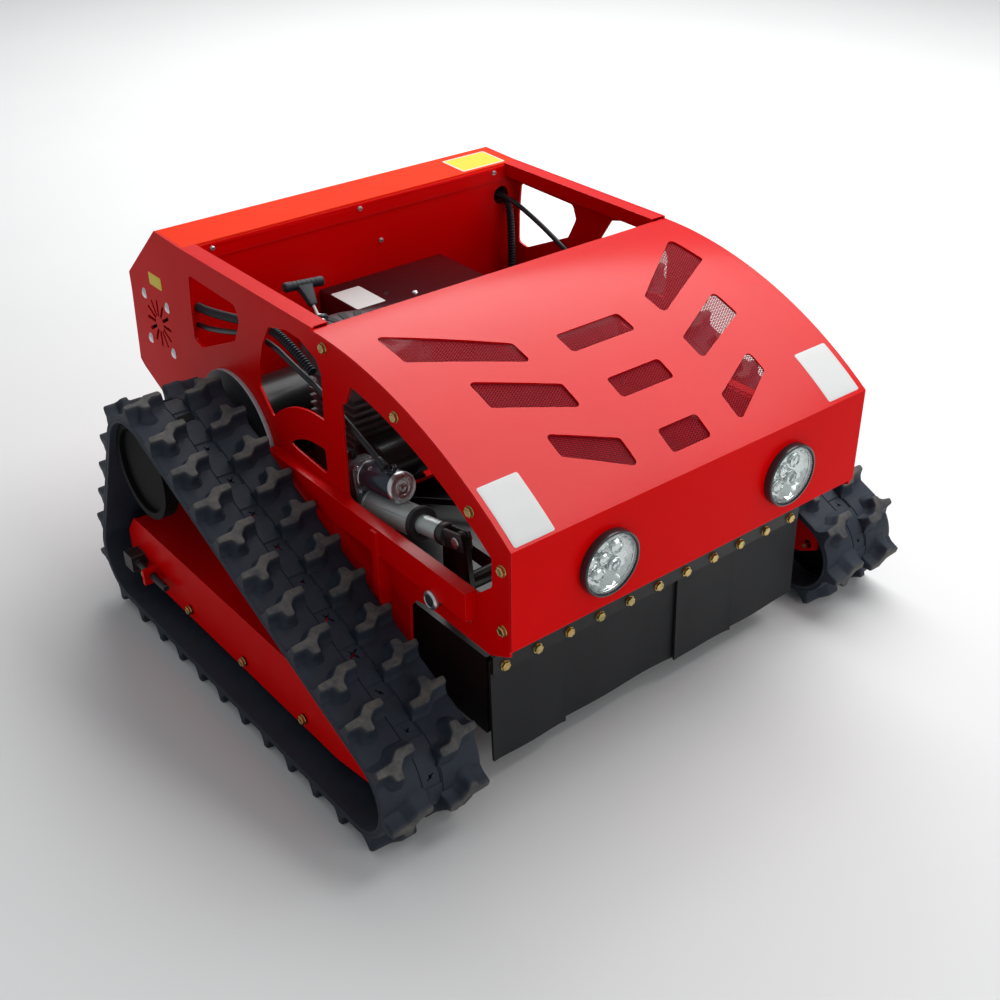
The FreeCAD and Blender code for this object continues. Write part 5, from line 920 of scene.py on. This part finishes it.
def add_actuator():
    body = Mesh()
    plan = rounded([(-24, -26), (24, -26), (25, 10), (25.5, 60), (14, 71), (-14, 71), (-25.5, 60), (-25, 10)],
                   11, 4)
    body.slab(plan, ACTUATOR, 41.0, 54.0)
    body.slab(offset(plan, -2.4), ACTUATOR, 54.0, 56.0)
    body.slab(offset(plan, 0.4), ACTUATOR, 56.0, 66.0)
    body.slab(rounded([(-9, -8), (9, -8), (9, 8), (-9, 8)], 3), ACTUATOR, -8.0, 42.0)
    for x, y in ((-19, -20), (19, -20), (-20, 28), (20, 28), (-17, 62), (17, 62)):
        body.turn([(0, 0), (3.6, 0), (3.8, 1.0), (3.2, 2.6), (2.0, 2.8), (1.9, 1.2), (0, 1.2)],
                  place(x, y, 66.0), ALONG, 12, 1)
    body.turn([(0, 65), (24.0, 65), (24.0, 68.5), (22.6, 69.5), (22.5, 178), (23.6, 178.6), (23.8, 181.0),
               (22.6, 182.0), (0, 182)], REAR_PIN, ALONG, 64, 2)
    for turn in (35, 145, 215, 325):
        angle = math.radians(turn)
        body.tube([place(math.cos(angle) * 22.4, math.sin(angle) * 22.4, z) for z in (71, 176)], 0.9, 8, 2)
    body.turn([(0, 181), (23.4, 181), (25.2, 182.5), (25.4, 188.6), (24.4, 190.0), (19.5, 190.4),
               (17.0, 190.0), (15.6, 191.6), (14.5, 191.0), (14.5, 184.0), (0, 184)], REAR_PIN, ALONG, 64, 3)
    body.make("actuator_shell", ("cast_grey", "silver", "actuator", "seal"), "chassis",
              replaces=("actuator_body",))
    motor = Mesh()
    axle = place(0, 46, 0)
    motor.turn([(0, 66), (23.2, 66), (23.4, 67.2), (23.4, 71.5), (22.6, 72.2)], axle, ALONG, 64, 1,
               caps=(True, False))
    motor.turn([(22.6, 72.2), (23.0, 73.0), (23.0, 146.5), (22.7, 147.0)], axle, ALONG, 64,
               caps=(False, False))
    motor.turn([(22.7, 147.0), (23.2, 147.6), (23.2, 151.6), (22.0, 153.6), (20.4, 154.4), (12.0, 154.8),
                (10.4, 154.2), (9.4, 152.6), (6.4, 152.2), (5.6, 153.8), (3.8, 154.6), (0, 154.8)], axle,
               ALONG, 64, 1, caps=(False, True))
    for turn in (60, 240):
        angle = math.radians(turn)
        motor.turn([(0, 153.8), (2.2, 153.8), (2.2, 155.8), (0, 156.2)],
                   axle + ACROSS * math.cos(angle) * 15.5 + UPWARD * math.sin(angle) * 15.5, ALONG, 12, 2)
    motor.turn([(0, 22.4), (3.4, 22.4), (3.4, 23.4), (2.4, 23.4), (2.2, 22.9), (0, 22.9)],
               axle + ALONG * 92, UPWARD * 0.86 - ACROSS * 0.5, 16, 2)
    motor.make("actuator_motor", ("motor_blue", "silver", "silver"), "chassis")
    leads = Mesh()
    for shift in (-2.4, 2.4):
        path = bend([place(-6 + shift, 66, 47), place(-8 + shift, 78, 41), place(-14 + shift, 84, 23),
                     place(-18 + shift, 70, 0), place(-14 + shift, 40, -20), place(-6 + shift, 10, -24)])
        leads.tube(path, 2.0, 10)
    leads.turn([(0, -6), (4.6, -6), (5.2, -4), (5.2, 4), (4.2, 7), (0, 7)], place(-8, 76, 43), UPWARD, 16)
    # The left loom ends in a plug, with two leads down to the motor.
    end = Vector((-325.0, 300.0, 440.0))
    way = Vector((0.0, -130.0, -52.0)).normalized()
    leads.turn([(4.4, -9), (5.8, -9), (6.4, -8), (6.4, 2), (7.2, 3), (7.2, 9), (5.8, 10), (0, 10)], end, way,
               16, caps=(False, True))
    for shift in (-2.0, 2.0):
        path = bend([end + way * 8 + ACROSS * shift, end + way * 24 + ACROSS * (shift + 2),
                     place(-16 + shift, 88, 172), place(-9 + shift, 84, 146), place(-7 + shift, 64, 134)])
        leads.tube(path, 1.6, 10)
    leads.make("actuator_leads", "cable", "chassis")


def bend(points, steps=24, pull=1.0):
    """A smooth line that a few control points pull, read from a spline."""
    data = bpy.data.curves.new("bend", "CURVE")
    data.dimensions = "3D"
    data.resolution_u = max(4, steps // max(1, len(points) - 2))
    line = data.splines.new("NURBS")
    line.points.add(len(points) - 1)
    for index, (control, point) in enumerate(zip(line.points, points)):
        control.co = (*point, pull if 0 < index < len(points) - 1 else 1.0)
    line.order_u = 3
    line.use_endpoint_u = True
    holder = bpy.data.objects.new("bend", data)
    mesh = bpy.data.meshes.new_from_object(holder)
    path = [vertex.co.copy() for vertex in mesh.vertices]
    bpy.data.objects.remove(holder)
    bpy.data.meshes.remove(mesh)
    bpy.data.curves.remove(data)
    return path


# Recoil starter: handle, rope and the cover over the engine
def add_starter():
    eyelet = Vector((-221.0, 612.0, 524.0))
    up = Vector((0.1, 0.8, 0.59)).normalized()
    across = (ACROSS - up * up.x).normalized()
    along = up.cross(across)
    grip = Mesh()
    centre = eyelet + up * 60.0
    grip.turn([(0, -34.5), (5.4, -34.2), (7.4, -32.6), (8.1, -29.5), (7.6, -25.0), (7.3, -12.0), (7.6, 0.0),
               (7.3, 12.0), (7.6, 25.0), (8.1, 29.5), (7.4, 32.6), (5.4, 34.2), (0, 34.5)], centre, across,
              32)
    rings = []
    for reach, half_wide, half_deep in ((-2, 15.0, 6.2), (-8, 12.4, 6.0), (-13, 11.2, 5.8), (-26, 8.8, 5.2),
                                        (-37, 7.0, 4.8), (-39.4, 6.2, 4.2), (-40, 4.6, 3.2)):
        outline = rounded([(-half_wide, -half_deep), (half_wide, -half_deep), (half_wide, half_deep),
                           (-half_wide, half_deep)], 2.6)
        rings.append([centre + across * p[0] + along * p[1] + up * reach for p in outline])
    grip.loft(rings)
    for step in range(6):
        grip.turn([(7.2, -1.0), (7.9, -0.5), (7.9, 0.5), (7.2, 1.0)], centre + across * (-20 + step * 8),
                  across, 32, caps=(False, False))
    grip.make("starter_grip", "handle", "starter", replaces=("starter_handle",))
    rope = Mesh()
    steps = 40
    start, end = eyelet - up * 12.0, eyelet + up * 21.0
    for strand in range(3):
        path = []
        for step in range(steps + 1):
            share = step / steps
            turn = 2 * math.pi * (share * 5 + strand / 3)
            path.append(start.lerp(end, share) + across * math.cos(turn) * 1.15
                        + along * math.sin(turn) * 1.15)
        rope.tube(path, 1.3, 8)
    piece = rope.make("starter_rope_lay", "rope", "", replaces=("starter_rope",))
    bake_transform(piece)
    hub = Vector((-190.0, 545.0, 470.0))
    cover = Mesh()
    cover.turn([(0, 0.4), (94.6, 0.4), (95.0, 2.0), (95.0, 6.0), (93.0, 8.0), (92.4, 10.0), (92.4, 28.0),
                (90.0, 36.0), (84.0, 41.4), (74.0, 43.6), (30.0, 44.0), (28.0, 42.0), (24.0, 41.6),
                (22.0, 43.0), (0, 43.6)], hub, RISE, 72)
    # Each vent slot is a thin dark slab on the cover, painted shade standing in for the opening.
    for turn in turns(18):
        way = level(turn)
        frame = (hub + way * 56, Vector((-way.y, way.x, 0)), way, RISE)
        cover.slab(rounded([(-4.5, -19), (4.5, -19), (6.5, 19), (-6.5, 19)], 4), frame, 43.2, 44.8, 1)
    for turn in turns(3, 0.4):
        cover.turn([(0, 6), (5.4, 6), (5.6, 8), (5.0, 11.5), (3.0, 12), (0, 12)], hub + level(turn) * 93.5,
                   RISE, 6, 2)
    cover.turn([(3.3, -12), (7.6, -12), (8.0, -10), (8.0, -1.6), (7.0, 0), (4.4, 0), (3.3, -1.2), (3.3, -12)],
               eyelet, up, 28, 2, caps=(False, False))
    cover.turn([(7.9, -9.0), (13.0, -8.4), (13.6, -6.0), (13.0, -4.0), (7.9, -3.6)], eyelet, up, 28, 0,
               caps=(False, False))
    cover.make("recoil_shell", ("starter_black", "vent_dark", "silver"), "chassis",
               replaces=("recoil_starter",))


def add_belt():
    """V-belt round both pulleys."""
    first, first_radius = Vector((-190.0, 545.0, 248.0)), 45.0
    second, second_radius = Vector((0.0, 364.0, 248.0)), 60.0
    run = (second - first).normalized()
    lean = (first_radius - second_radius) / (second - first).length
    bare = math.acos(lean)
    heading = math.atan2(run.y, run.x)
    stops = []
    for centre, radius, start, end in ((first, first_radius, bare, 2 * math.pi - bare),
                                       (second, second_radius, -bare, bare)):
        stops += [(centre, radius, heading + start + (end - start) * step / 40) for step in range(41)]
    path = [(centre + level(turn) * radius, turn) for centre, radius, turn in stops]
    for place, share in ((82, 0), (41, 1)):
        (point, turn), (other, last) = path[place - 1], path[place % len(path)]
        path[place:place] = [(point.lerp(other, step / 12), turn) for step in range(1, 12)]
    belt = Mesh()
    section = ((0.3, -3.9), (3.6, -5.5), (4.7, -5.5), (4.7, 5.5), (3.6, 5.5), (0.3, 3.9))
    for point, turn in path:
        belt.points += [point + level(turn) * reach + RISE * height for reach, height in section]
    wide, total = len(section), len(path)
    for row in range(total):
        for column in range(wide):
            a, b = row * wide + column, row * wide + (column + 1) % wide
            c, d = (row + 1) % total * wide + (column + 1) % wide, (row + 1) % total * wide + column
            belt.faces.append((a, b, c, d))
    belt.marks = [0] * len(belt.faces)
    piece = belt.make("drive_belt_loop", "flap", "", replaces=("drive_belt",))
    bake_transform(piece)


def add_battery_cover():
    """Glossy folded cover with soft edges and a screw."""
    cover = Mesh()
    high = 468.0
    outline = rounded([(-97, 622), (161, 622), (161, 815.6), (-97, 815.6)], 4, 3)
    cover.stack(outline, ((262.4, 0.0), (high - 3.0, 0.0), (high - 0.9, 0.9), (high, 3.0)))
    cover.make("battery_cover", "gloss", "chassis", replaces=("battery_box",))
    trim = Mesh()
    trim.turn([(0, 0), (5.4, 0), (5.4, 0.6), (4.6, 1.0), (4.2, 2.6), (2.4, 3.2), (2.2, 1.4), (0, 1.4)],
              Vector((22, 700, high)), RISE, 24)
    trim.make("battery_cover_screw", "silver", "chassis")


# Hoses: the same points as the solids, in millimetres
HOSES = {
    "right_conduit": (6.0, True, 6.0, ((309.5, 880, 543), (313, 798, 543), (317, 798, 263))),
    "right_loom": (4.5, False, 1.0, ((296, 904.9, 552), (299, 800, 552), (326, 740, 512), (326, 640, 470),
                                     (326, 520, 440), (326, 500, 269.2))),
    "left_conduit": (6.0, True, 1.0, ((-322, 815.75, 500), (-322, 788, 500), (-322, 600, 542),
                                      (-322, 540, 542), (-322, 470, 514))),
    "left_loom": (4.5, False, 1.0, ((-325, 815.75, 470), (-325, 788, 470), (-325, 600, 527), (-325, 500, 504),
                                    (-325, 430, 492), (-325, 300, 440))),
}


def add_hoses():
    for name, (radius, ribbed, pull, points) in HOSES.items():
        path = bend([Vector(point) for point in points], 260, pull)
        gaps = [(b - a).length for a, b in zip(path, path[1:])]
        total = sum(gaps)
        hose = Mesh()
        if ribbed:
            count = round(total / 5.4)
            rings = []
            path_at = read_along(path, gaps)
            side = ACROSS
            for rib in range(count):
                for share, size in ((0.0, radius - 1.6), (0.3, radius - 1.6), (0.38, radius + 0.7),
                                    (0.5, radius + 1.3), (0.76, radius + 1.3), (0.88, radius + 0.7)):
                    point, way = path_at((rib + share) * total / count)
                    side = (side - way * side.dot(way)).normalized()
                    other = way.cross(side)
                    rings.append([point + (side * math.cos(turn) + other * math.sin(turn)) * size
                                  for turn in turns(20)])
            hose.loft(rings)
        else:
            hose.tube(path, radius, 20)
        piece = hose.make(name, "hose" if ribbed else "cable", "chassis",
                          replaces=("wiring_conduits",))


def read_along(path, gaps):
    """A reader of the point and direction at a distance along a line."""
    def at(distance):
        index = 0
        while index < len(gaps) - 1 and distance > gaps[index]:
            distance -= gaps[index]
            index += 1
        way = (path[index + 1] - path[index]).normalized()
        return path[index] + way * distance, way
    return at


FLAP_EDGES = (-313.0, -176.8, 47.9, 173.1, 313.0)


def add_flap():
    """Rubber strips behind the front bar, hanging in slight waves."""
    low, high = 46.6, 220.0
    flap = Mesh()
    columns, rows = 44, 16
    for number, (x0, x1) in enumerate(zip(FLAP_EDGES, FLAP_EDGES[1:])):
        front = 79.2 + (5.0 if number % 2 else 0.0)
        if number % 2:
            x0, x1 = x0 - 14.0, x1 + 14.0
        base = len(flap.points)
        wide = columns + 1
        size = wide * (rows + 1)
        for shift in (0.0, 4.5):
            for row in range(rows + 1):
                share = row / rows
                hang = max(0.0, share - 0.16) ** 1.4
                for column in range(wide):
                    x = x0 + (x1 - x0) * column / columns
                    wave = math.sin(x * 0.034 + 0.6 + number) * 1.8 + math.sin(x * 0.0127 + 2.0) * 2.4
                    edge = 2.2 * math.exp(-min(x - x0, x1 - x) / 9.0) * share
                    y = front + shift + (wave - 3.4) * hang - edge
                    flap.points.append(Vector((x, y, high - (high - low) * share)))
        for row in range(rows):
            for column in range(columns):
                a = base + row * wide + column
                flap.faces.append((a, a + 1, a + 1 + wide, a + wide))
                flap.faces.append((size + a, size + a + wide, size + a + 1 + wide, size + a + 1))
        border = list(range(wide)) + [r * wide + columns for r in range(1, rows + 1)]
        border += [rows * wide + c for c in range(columns - 1, -1, -1)]
        border += [r * wide for r in range(rows - 1, 0, -1)]
        for index in range(len(border)):
            a, b = base + border[index], base + border[(index + 1) % len(border)]
            flap.faces.append((a, b, size + b, size + a))
    flap.marks = [0] * len(flap.faces)
    flap.make("flap_strips", "flap", "deck", sharp=50.0, replaces=("rubber_flap",))


def islands(name):
    """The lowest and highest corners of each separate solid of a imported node, in millimetres."""
    mesh = NODES[name].data
    group = list(range(len(mesh.vertices)))

    def find(index):
        while group[index] != index:
            group[index] = group[group[index]]
            index = group[index]
        return index

    first = {}
    for vertex in mesh.vertices:
        key = tuple(round(v, 5) for v in vertex.co)
        group[find(vertex.index)] = find(first.setdefault(key, vertex.index))
    for edge in mesh.edges:
        group[find(edge.vertices[0])] = find(edge.vertices[1])
    boxes = {}
    for vertex in mesh.vertices:
        point = Vector((vertex.co.x, vertex.co.y - FORWARD, vertex.co.z)) * 1000
        low, high = boxes.setdefault(find(vertex.index), (point.copy(), point.copy()))
        for axis in range(3):
            low[axis] = min(low[axis], point[axis])
            high[axis] = max(high[axis], point[axis])
    return list(boxes.values())


BOLT_HEAD = 5.3
BOLT_BODIES = {"hood_bolts": "chassis", "flap_bolts": "deck", "track_bolts": "chassis"}


def add_bolts():
    """Hexagon bolts with a chamfered head, a washer and a little turn each."""
    draw = random.Random(5)
    for name in BOLT_BODIES:
        piece = Mesh()
        for low, high in islands(name):
            middle = (low + high) / 2
            if name == "flap_bolts":
                axis, side = FRONT, Vector((draw.uniform(-1, 1), 0, 1))
            else:
                axis = ACROSS * (1 if middle.x > 0 else -1)
                side = Vector((0, math.sin(draw.uniform(0, 1)), 1))
            half = abs((high - low).dot(axis)) / 2
            head = middle + axis * half - axis * BOLT_HEAD
            foot = BOLT_HEAD - 2 * half
            piece.turn([(0.5, foot), (3.9, foot), (3.9, 0), (0.5, 0)], head, axis, 20)
            piece.turn([(3.9, 0.05), (8.0, 0.05), (8.3, 0.5), (8.0, 1.3), (3.9, 1.4)], head, axis, 36, 1,
                       caps=(False, False))
            piece.turn([(0.5, 1.3), (7.0, 1.3), (7.5, 1.7), (7.5, 4.5), (6.9, 5.1), (5.9, 5.4), (5.2, 5.2),
                        (4.9, 4.9), (0.5, 4.9)], head, axis, 6, start=side)
        piece.make(name + "_detailed", ("gold", "gold"), BOLT_BODIES[name], sharp=25.0,
                   replaces=(name,))


def add_screws():
    """Plated screws: hexagon heads on the bulkhead and round the fans, domed caps on the lift shaft."""
    draw = random.Random(11)
    piece = Mesh()
    for low, high in islands("silver_screws"):
        middle = (low + high) / 2
        reach = (high - low) / 2
        sideways = abs(middle.x) > 335
        axis = ACROSS * (1 if middle.x > 0 else -1) if sideways else FRONT
        half = abs(reach.dot(axis))
        outer = middle + axis * half
        radius = max(reach.z, reach.y if sideways else reach.x)
        if radius > 9:
            foot = outer - axis * half * 2
            tall = half * 2
            piece.turn([(0, 0), (radius, 0), (radius, tall * 0.55), (radius - 0.8, tall * 0.8),
                        (radius - 2.4, tall), (radius - 3.6, tall), (radius - 4.2, tall - 0.7),
                        (0, tall - 0.7)], foot, axis, 48, 0)
            piece.turn([(0, tall - 0.6), (radius - 4.4, tall - 0.6), (radius - 5.6, tall - 0.2),
                        (0, tall - 0.1)], foot,
                       axis, 48, 1)
            continue
        head = outer - axis * 2.6
        piece.turn([(0.4, -(half * 2 - 2.6)), (radius * 0.5, -(half * 2 - 2.6)), (radius * 0.5, 0.2),
                    (0.4, 0.2)], head,
                   axis, 16, 0)
        side = Vector((0, draw.uniform(-1, 1), 1)) if sideways else Vector((draw.uniform(-1, 1), 0, 1))
        piece.turn([(0.4, 0), (radius * 0.86, 0), (radius * 0.86, 0.6), (radius * 0.5, 0.7)], head, axis, 28,
                   0)
        piece.turn([(0.4, 0.6), (radius * 0.72, 0.6), (radius * 0.72, 3.2), (radius * 0.6, 3.7), (0.4, 3.7)],
                   head, axis, 6, 0, start=side)
        piece.turn([(0.4, 3.6), (radius * 0.34, 3.6), (radius * 0.34, 4.8), (radius * 0.26, 5.1), (0.3, 5.1)],
                   head, axis, 16, 1)
    piece.make("silver_screws_detailed", ("silver", "dark_steel"), "chassis", sharp=25.0,
               replaces=("silver_screws",))


def add_ram():
    """The rod of the actuator: a bright sleeve, a black clevis and its pin."""
    length = REACH.length
    tip = REAR_PIN + ALONG * length
    ram = Mesh()
    ram.turn([(0, 90), (14.0, 90), (14.2, 91), (14.2, length - 44), (13.4, length - 42),
              (10.0, length - 41.6), (0, length - 41.6)], REAR_PIN, ALONG)
    ram.turn([(0, length - 44), (12.0, length - 44), (16.0, length - 43), (17.0, length - 41),
              (17.0, length - 31), (15.5, length - 28.6), (9.0, length - 26), (0, length - 26)], REAR_PIN,
             ALONG, 40, 1)
    for word, side in SIDES:
        plan = rounded([(side * 4.35, -13), (side * 9.6, -13), (side * 9.6, 13), (side * 4.35, 13)], 1.2, 2)
        ram.slab(plan, ACTUATOR, length - 33, length + 11, 1)
        ram.turn([(0, 9.0), (5.0, 9.0), (7.6, 9.6), (8.0, 10.4), (8.0, 12.0), (7.2, 12.8), (0, 12.9)], tip,
                 ACROSS * side, 24, 2)
    ram.turn([(4.9, -9.4), (4.9, 9.4)], tip, ACROSS, 24, 2, caps=(False, False))
    ram.make("ram_shell", ("actuator", "clevis", "silver"), "actuator_ram",
             replaces=("actuator_rod",))


def add_labels():
    """Plain plates where the machine has its printed ones."""
    add_label("plate_hood_left", "label_white", -332, -266, 369, 460, hood_spot)
    add_label("plate_hood_right", "label_white", 262, 329, 370, 458, hood_spot)
    add_label("plate_side", "label_yellow", 904, 948, 502, 524, lambda y, z, out: Vector((-340 - out, y, z)))
    add_label("plate_battery", "label_white", -93, -36, 702, 784, lambda x, y, out: Vector((x, y, 468 + out)))
    add_label("plate_cover", "label_yellow", 224, 319, 822, 887,
              lambda x, y, out: Vector((x, y, 603 + (y - 816) * 0.0342 + out)), edge="label_white")


def add_silencer():
    """Round silencer with pressed ends, a seam and its outlet stub."""
    drum = Mesh()
    drum.turn([(0, 1.5), (20, 1.5), (24, 0.2), (33, 0.0), (37.2, 2.2), (38.6, 4.5), (38.6, 7.0), (37.6, 8.5),
               (37.4, 56), (38.2, 57.5), (38.2, 62.5), (37.4, 64), (37.4, 111.5), (38.6, 113), (38.6, 116),
               (37.2, 118.4), (33, 119.8), (26, 119.4), (21, 117.4), (0, 116.8)],
              Vector((-130.0, 445.0, 344.0)), -ACROSS, 72)
    drum.turn([(7.5, -6), (9.5, -6), (9.8, 10), (12.5, 13), (12.5, 15), (7.5, 15), (7.5, -6)],
              Vector((-168, 445, 308)), Vector((0, -0.35, -0.94)), 28, caps=(False, False))
    drum.make("silencer_shell", "black_steel", "chassis", replaces=("silencer",))


def add_tank():
    """Moulded fuel tank with soft corners and a ribbed cap."""
    tank = Mesh()
    outline = rounded([(70, 480), (300, 480), (300, 610), (70, 610)], 22, 6)
    tank.stack(outline, ((268.2, 6.0), (271.0, 2.4), (276.0, 0.0), (334.0, 0.0), (336.0, -0.9), (341.0, -0.9),
                         (343.0, 0.0), (402.0, 0.6), (411.0, 3.2), (416.0, 8.0), (417.6, 14.0)))
    middle = Vector((185, 545, 0))
    tank.turn([(0, 414), (19.6, 414), (19.6, 418), (20.6, 419.0), (21.0, 421), (21.0, 428), (19.6, 430.4),
               (16, 431), (0, 431)], middle, RISE, 64, 1)
    for turn in turns(24):
        tank.tube([middle + level(turn) * 20.8 + RISE * z for z in (420.0, 429.0)], 1.0, 8, 1)
    tank.make("tank_shell", ("tank", "plastic"), "chassis", replaces=("fuel_tank",))


# Floor and light
def soft_light(name, place, aim, width, depth, power):
    data = bpy.data.lights.new(name, "AREA")
    data.shape = "RECTANGLE"
    data.size = width
    data.size_y = depth
    data.energy = power
    light = add_object(name, data)
    light.location = place
    light.rotation_euler = (Vector(place) - Vector(aim)).to_track_quat("Z", "Y").to_euler()


def add_stage():
    reach = 12.0
    mesh = bpy.data.meshes.new("floor")
    mesh.from_pydata([(-reach, -reach, 0), (reach, -reach, 0), (reach, reach, 0), (-reach, reach, 0)], [],
                     [(0, 1, 2, 3)])
    look = Look("floor_paint", rough=0.75, specular=0.2)
    mesh.materials.append(look.dress(((2.0, 3), (0.68, 0.68, 0.675), (0.71, 0.71, 0.705))))
    add_object("floor", mesh)
    world = bpy.data.worlds.new("studio")
    world.use_nodes = True
    background = world.node_tree.nodes["Background"]
    background.inputs["Color"].default_value = (0.93, 0.965, 1.0, 1.0)
    background.inputs["Strength"].default_value = 0.42
    bpy.context.scene.world = world
    soft_light("sky_panel", (2.0, 1.3, 3.2), (2.0, 1.3, 0), 2.8, 6.2, 240.0)
    soft_light("front_fill", (0.6, -3.4, 1.5), (0, 0, 0.3), 2.6, 1.6, 24.0)
    bpy.context.scene.view_settings.view_transform = "Standard"


add_camera()
LOOKS = add_material_set()
dress_nodes()
soften_edges()
add_hoses()
for word, side in SIDES:
    add_track(word, side)
add_lamps()
add_hood_mesh()
add_actuator()
add_ram()
add_bolts()
add_screws()
add_starter()
add_belt()
add_battery_cover()
add_flap()
add_silencer()
add_tank()
add_labels()
add_stage()
